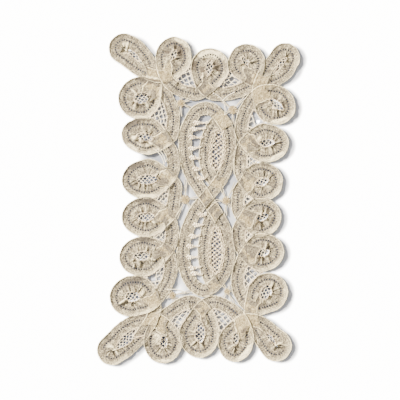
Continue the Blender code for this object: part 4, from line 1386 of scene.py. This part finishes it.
def work_ladder(order, strip):
    """Twisted bars from tape to tape, with a cluster of knots at both ends."""
    bar_size = thread_size("bar_diameter")
    work = ThreadWork(3000 + order)
    edges = strip_edges(strip)
    gap = strip_gap(strip, edges)
    for bar in strip.bars:
        left, right = (np.interp(bar, edges[:, 0], edges[:, side]) for side in (1, 2))
        slant = work.rng.uniform(-0.6, 0.9)
        share = np.linspace(0, 1, 14)
        reach = np.linspace(left - 1.2, right + 1.0, 14)
        for ply in range(2):
            turn = share * 9 + ply * math.pi
            points = np.stack([reach, bar - slant + (share * slant * 2 + 0.45 * np.sin(turn))], axis=1)
            height = gap.height(points, 0.3) + 0.3 + 0.3 * np.cos(turn)
            work.thread(points, height, bar_size * 1.1, toned=0.75)
        for along, up, size in LADDER_KNOTS:
            place = (left + along, bar - slant + up)
            work.knot((*place, gap.height([place])[0] + 0.6), size * 0.95,
                      toned=work.rng.uniform(0.1, 1.0))
        for along, up, size in LADDER_KNOTS[::3]:
            place = (right + 0.3 - along * 0.4, bar + slant + up * 0.7)
            work.knot((*place, gap.height([place])[0] + 0.4), size * 0.75,
                      toned=work.rng.uniform(0.0, 1.0))
    return work.finish("worked_" + strip.name, strip.name)


def work_lens(order, strip):
    return work_netting(3500 + order, "worked_" + strip.name, strip.name,
                        strip_gap(strip, strip_edges(strip)), 90, LENS_CELL, NETTING["lens"])


def work_wheel(order, wheel):
    """A spiral woven round its legs, with a rim of knots."""
    bar_size = thread_size("bar_diameter")
    work = ThreadWork(4000 + order)
    middle = np.array([wheel.x, wheel.y])
    share = np.linspace(0, 1, 12)
    for leg in wheel.legs:
        angle = math.radians(leg)
        length = free_reach(wheel.x, wheel.y, angle, WHEEL_LEG_LIMIT)
        tip = middle + length * pointing(angle)
        across = left_of(pointing(angle))
        for spread in (-1.1, 1.1):
            points = (middle + (tip - middle) * share[:, None]
                      + across * (spread * share ** 1.5)[:, None])
            height = WHEEL_HEIGHT + (sewn_height(*points[-1]) - WHEEL_HEIGHT) * share ** 2
            work.thread(points, height, bar_size * 0.8, toned=0.55)
    turns = wheel.radius * 0.85 / WHEEL_PITCH
    sweep = np.arange(0, turns * 2 * math.pi, 0.22)
    legs = len(wheel.legs)
    weave = np.cos(sweep * legs / 2 + math.pi * (sweep / (2 * math.pi)).astype(int))
    radius = 0.3 + WHEEL_PITCH * sweep / (2 * math.pi)
    radius = radius * (1 + 0.06 * np.cos(sweep * legs))
    height = WHEEL_HEIGHT + 0.35 + 0.22 * weave - 0.5 * (radius / wheel.radius) ** 2
    work.thread(middle + radius[:, None] * pointing(sweep), height, bar_size, step=0.45, toned=1)
    work.knot((wheel.x, wheel.y, WHEEL_HEIGHT + 0.6), 0.8, toned=1)
    rim = middle + wheel.radius * 1.02 * pointing(np.linspace(0, 2 * math.pi, 40))
    # A darkened thread round the rim: painted shade at the wheel's edge.
    work.thread(rim, WHEEL_HEIGHT - 0.2, bar_size * 0.7, toned=1, soiled=1.1)
    for rib in range(WHEEL_RIBS):
        place = middle + wheel.radius * 0.88 * pointing(2 * math.pi * rib / WHEEL_RIBS + order)
        work.knot((*place, WHEEL_HEIGHT + 0.25), 0.75, toned=0.8)
    return work.finish("worked_" + wheel.name, wheel.name, "wheel_thread")


def work_loose():
    """Single threads drawn from tape to tape outside the nets, knotted at both ends."""
    size = thread_size()
    work = ThreadWork(5000)
    share = np.linspace(0, 1, 14)
    for row in LOOSE:
        ends = np.array([(row.x, row.y), (row.to_x, row.to_y)])
        way = ends[1] - ends[0]
        bow = left_of(way) * 0.08
        points = ends[0] + way * share[:, None] + bow * np.sin(share * math.pi)[:, None]
        levels = [sewn_height(*end) + 0.2 for end in ends]
        height = np.interp(share, (0, 1), levels) - 0.5 * np.sin(share * math.pi)
        work.thread(points, np.maximum(height, size / 2), size * 0.8)
        for end, level in zip(ends, levels):
            work.knot((*end, level), 0.8, toned=0.5)
    return work.finish("loose_threads")


# The table ---------------------------------------------------------------------------------------

def blurred(values, reach):
    """Each value averaged with its neighbours in a square, twice."""
    values = values.astype(float)
    size = 2 * reach + 1
    for axis in (0, 1, 0, 1):
        margins = [(reach + 1, reach) if side == axis else (0, 0) for side in (0, 1)]
        total = np.cumsum(np.pad(values, margins), axis)
        count = values.shape[axis]
        values = total.take(range(size, size + count), axis) - total.take(range(count), axis)
        values = values / size
    return values


def nearest(x, y, points, shift=(0, 0)):
    """How far each place of a grid lies from the nearest of the points, moved by the shift."""
    away = np.full(x.shape, FAR)
    for first in range(0, len(points), SHADE_PART):
        part = points[first:first + SHADE_PART]
        far = np.hypot(x[..., None] - part[:, 0] - shift[0], y[..., None] - part[:, 1] - shift[1])
        away = np.minimum(away, far.min(axis=2))
    return away


def table_shade(x, y):
    """How much painted shade the cloth and the fillings put on each place of the table, and how little
    of it glows.
    """
    tape = np.vstack([ribbon.centre for ribbon in ribbons()])[::2]
    half = tape_width() / 2
    away, beside, rim = (nearest(x, y, tape, shift) for shift in ((0, 0), SHADE_SHIFT, RIM_SHIFT))
    # All of these are painted shade on the table: under the tape, cast to one side of it, in a thin
    # rim round it and in crowded gaps; under the fillings it is added below.
    under_tape = falling(away, half - 1.5, 1.5)
    fallen = falling(beside, half + 1.5, 4)
    fringe = falling(rim, half + 1.0, 1.3)
    crowded = rising(blurred(away < half, 9), 0.36, 0.26) * (0.7 + 0.3 * rising(y, -60, 120))
    crowded *= falling(np.abs(x), 56, 10) * falling(np.abs(y), 130, 10)
    covered = np.maximum(under_tape, np.maximum(crowded * 0.85, fallen * 0.7))
    covered = np.maximum(covered, fringe * 0.6)
    unlit = np.maximum(fringe, 1 - (1 - np.maximum(fallen, crowded)) ** 3.5)
    gaps = [(eye_gap(eye), EYE_SHADE, []) for eye in EYES]
    gaps += [(net_gap(net), NET_SHADE, net.holes) for net in NETS]
    gaps += [(strip_gap(strip, strip_edges(strip)), LENS_SHADE, [])
             for strip in STRIPS if not strip.bars]
    places = np.column_stack([x.ravel(), y.ravel()])
    for gap, depth, holes in gaps:
        held = gap.holds(places, holes).reshape(x.shape)
        covered = np.maximum(covered, depth * held)
        unlit = np.maximum(unlit, held)
    return covered, unlit


def lay_table(stage):
    """The pale table. Under and near the lace its colour is darkened as painted shade and its glow is
    left off; the rest glows a little, an emission with no lamp.
    """
    lines = [np.concatenate([[-TABLE_END], np.arange(-reach, reach + 1, TABLE_STEP), [TABLE_END]])
             for reach in TABLE_REACH]
    x, y = np.meshgrid(*lines, indexing="ij")
    rows, columns = x.shape
    corner = (np.arange(rows - 1)[:, None] * columns + np.arange(columns - 1)).ravel()
    faces = np.stack([corner, corner + columns, corner + columns + 1, corner + 1], axis=1).tolist()
    mesh = bpy.data.meshes.new("table")
    vertices = np.column_stack([x.ravel(), y.ravel(), np.full(x.size, TABLE_LOW)])
    mesh.from_pydata(vertices * MM, [], faces)
    covered, unlit = table_shade(x, y)
    write_readings(mesh, {"covered": covered, "unlit": unlit})
    top = Finish("pale_table")
    # Emission where the table is bare, none in the painted shade.
    bare = top.dye(top.reading("unlit"), (1.0, 1.0, 1.0), (0.0, 0.0, 0.0))
    colour = top.dye(top.reading("covered"), stage.floor_colour, stage.shade_colour)
    mesh.materials.append(top.close(colour, 0.9, Specular_IOR_Level=0.1, Emission_Color=bare,
                                    Emission_Strength=stage.glow))
    return add_object("table", mesh)


# Operators ---------------------------------------------------------------------------------------

class LayBorderTape(bpy.types.Operator):
    """Lay the long tape round the mat in its loops"""
    bl_idname = "lace.lay_border_tape"
    bl_label = "Border Tape"

    def execute(self, context):
        add_ribbon(BORDER)
        return {"FINISHED"}


class LayMiddleTapes(bpy.types.Operator):
    """Lay the tape of the two leaves and the short tapes that split them"""
    bl_idname = "lace.lay_middle_tapes"
    bl_label = "Middle Tapes"

    def execute(self, context):
        for index in range(len(TAPES)):
            if index != BORDER:
                add_ribbon(index)
        return {"FINISHED"}


class WorkEyes(bpy.types.Operator):
    """Work the netted eye of every loop"""
    bl_idname = "lace.work_eyes"
    bl_label = "Netted Eyes"

    def execute(self, context):
        for order, eye in enumerate(EYES):
            work_eye(order, eye)
        return {"FINISHED"}


class WorkNets(bpy.types.Operator):
    """Work the nets between the loops and the runs"""
    bl_idname = "lace.work_nets"
    bl_label = "Nets"

    def execute(self, context):
        for order, net in enumerate(NETS):
            work_net(order, net)
        return {"FINISHED"}


class WorkLeaves(bpy.types.Operator):
    """Work the ladders and the long knotted nets of the two leaves"""
    bl_idname = "lace.work_leaves"
    bl_label = "Leaf Fillings"

    def execute(self, context):
        for order, strip in enumerate(STRIPS):
            make = work_ladder if strip.bars else work_lens
            make(order, strip)
        return {"FINISHED"}


class WorkWheels(bpy.types.Operator):
    """Work the small wheels in the open corners, and the loose threads"""
    bl_idname = "lace.work_wheels"
    bl_label = "Wheels"

    def execute(self, context):
        for order, wheel in enumerate(WHEELS):
            work_wheel(order, wheel)
        work_loose()
        return {"FINISHED"}


class SetStage(bpy.types.Operator):
    """Set the table, the lights and the camera"""
    bl_idname = "lace.set_stage"
    bl_label = "Stage"

    def execute(self, context):
        stage = context.scene.lace_stage
        lay_table(stage)
        world = context.scene.world or bpy.data.worlds.new("sky")
        context.scene.world = world
        world.use_nodes = True
        sky = world.node_tree.nodes["Background"]
        sky.inputs["Color"].default_value = (1, 1, 1, 1)
        sky.inputs["Strength"].default_value = stage.sky_strength
        sun = add_object("low_light", bpy.data.lights.new("low_light", "SUN"))
        sun.data.energy = stage.sun_strength
        sun.data.angle = math.radians(SUN_WIDTH)
        sun.data.color = SUN_COLOUR
        sun.rotation_euler = Vector(SUN_WAY).to_track_quat("-Z", "Y").to_euler()
        camera = add_object("camera", bpy.data.cameras.new("camera"))
        camera.data.sensor_width = SENSOR
        camera.data.lens = SENSOR * stage.distance / stage.view_width
        camera.data.clip_end = CLIP_END
        camera.location = (*CAMERA_SHIFT, stage.distance)
        context.scene.camera = camera
        return {"FINISHED"}


OPERATORS = (LayBorderTape, LayMiddleTapes, WorkEyes, WorkNets, WorkLeaves, WorkWheels, SetStage)
SETTINGS = {"lace_tape": TapeSettings, "lace_thread": ThreadSettings, "lace_stage": StageSettings}


class LacePanel(bpy.types.Panel):
    """Lists the pieces of the mat in the order they are made"""
    bl_idname = "LACE_PT_mat"
    bl_label = "Tape Lace Mat"
    bl_space_type = "VIEW_3D"
    bl_region_type = "UI"
    bl_category = "Lace"

    def draw(self, context):
        for label, group in SETTINGS.items():
            box = self.layout.box()
            for name in group.__annotations__:
                box.prop(getattr(context.scene, label), name)
        for operator in OPERATORS:
            self.layout.operator(operator.bl_idname)


CLASSES = (*SETTINGS.values(), *OPERATORS, LacePanel)


def register():
    for each in CLASSES:
        bpy.utils.register_class(each)
    for label, group in SETTINGS.items():
        setattr(bpy.types.Scene, label, PointerProperty(type=group))


def unregister():
    for label in SETTINGS:
        delattr(bpy.types.Scene, label)
    for each in reversed(CLASSES):
        bpy.utils.unregister_class(each)


def main():
    register()
    for operator in OPERATORS:
        group, name = operator.bl_idname.split(".")
        getattr(getattr(bpy.ops, group), name)()


if __name__ == "__main__":
    main()
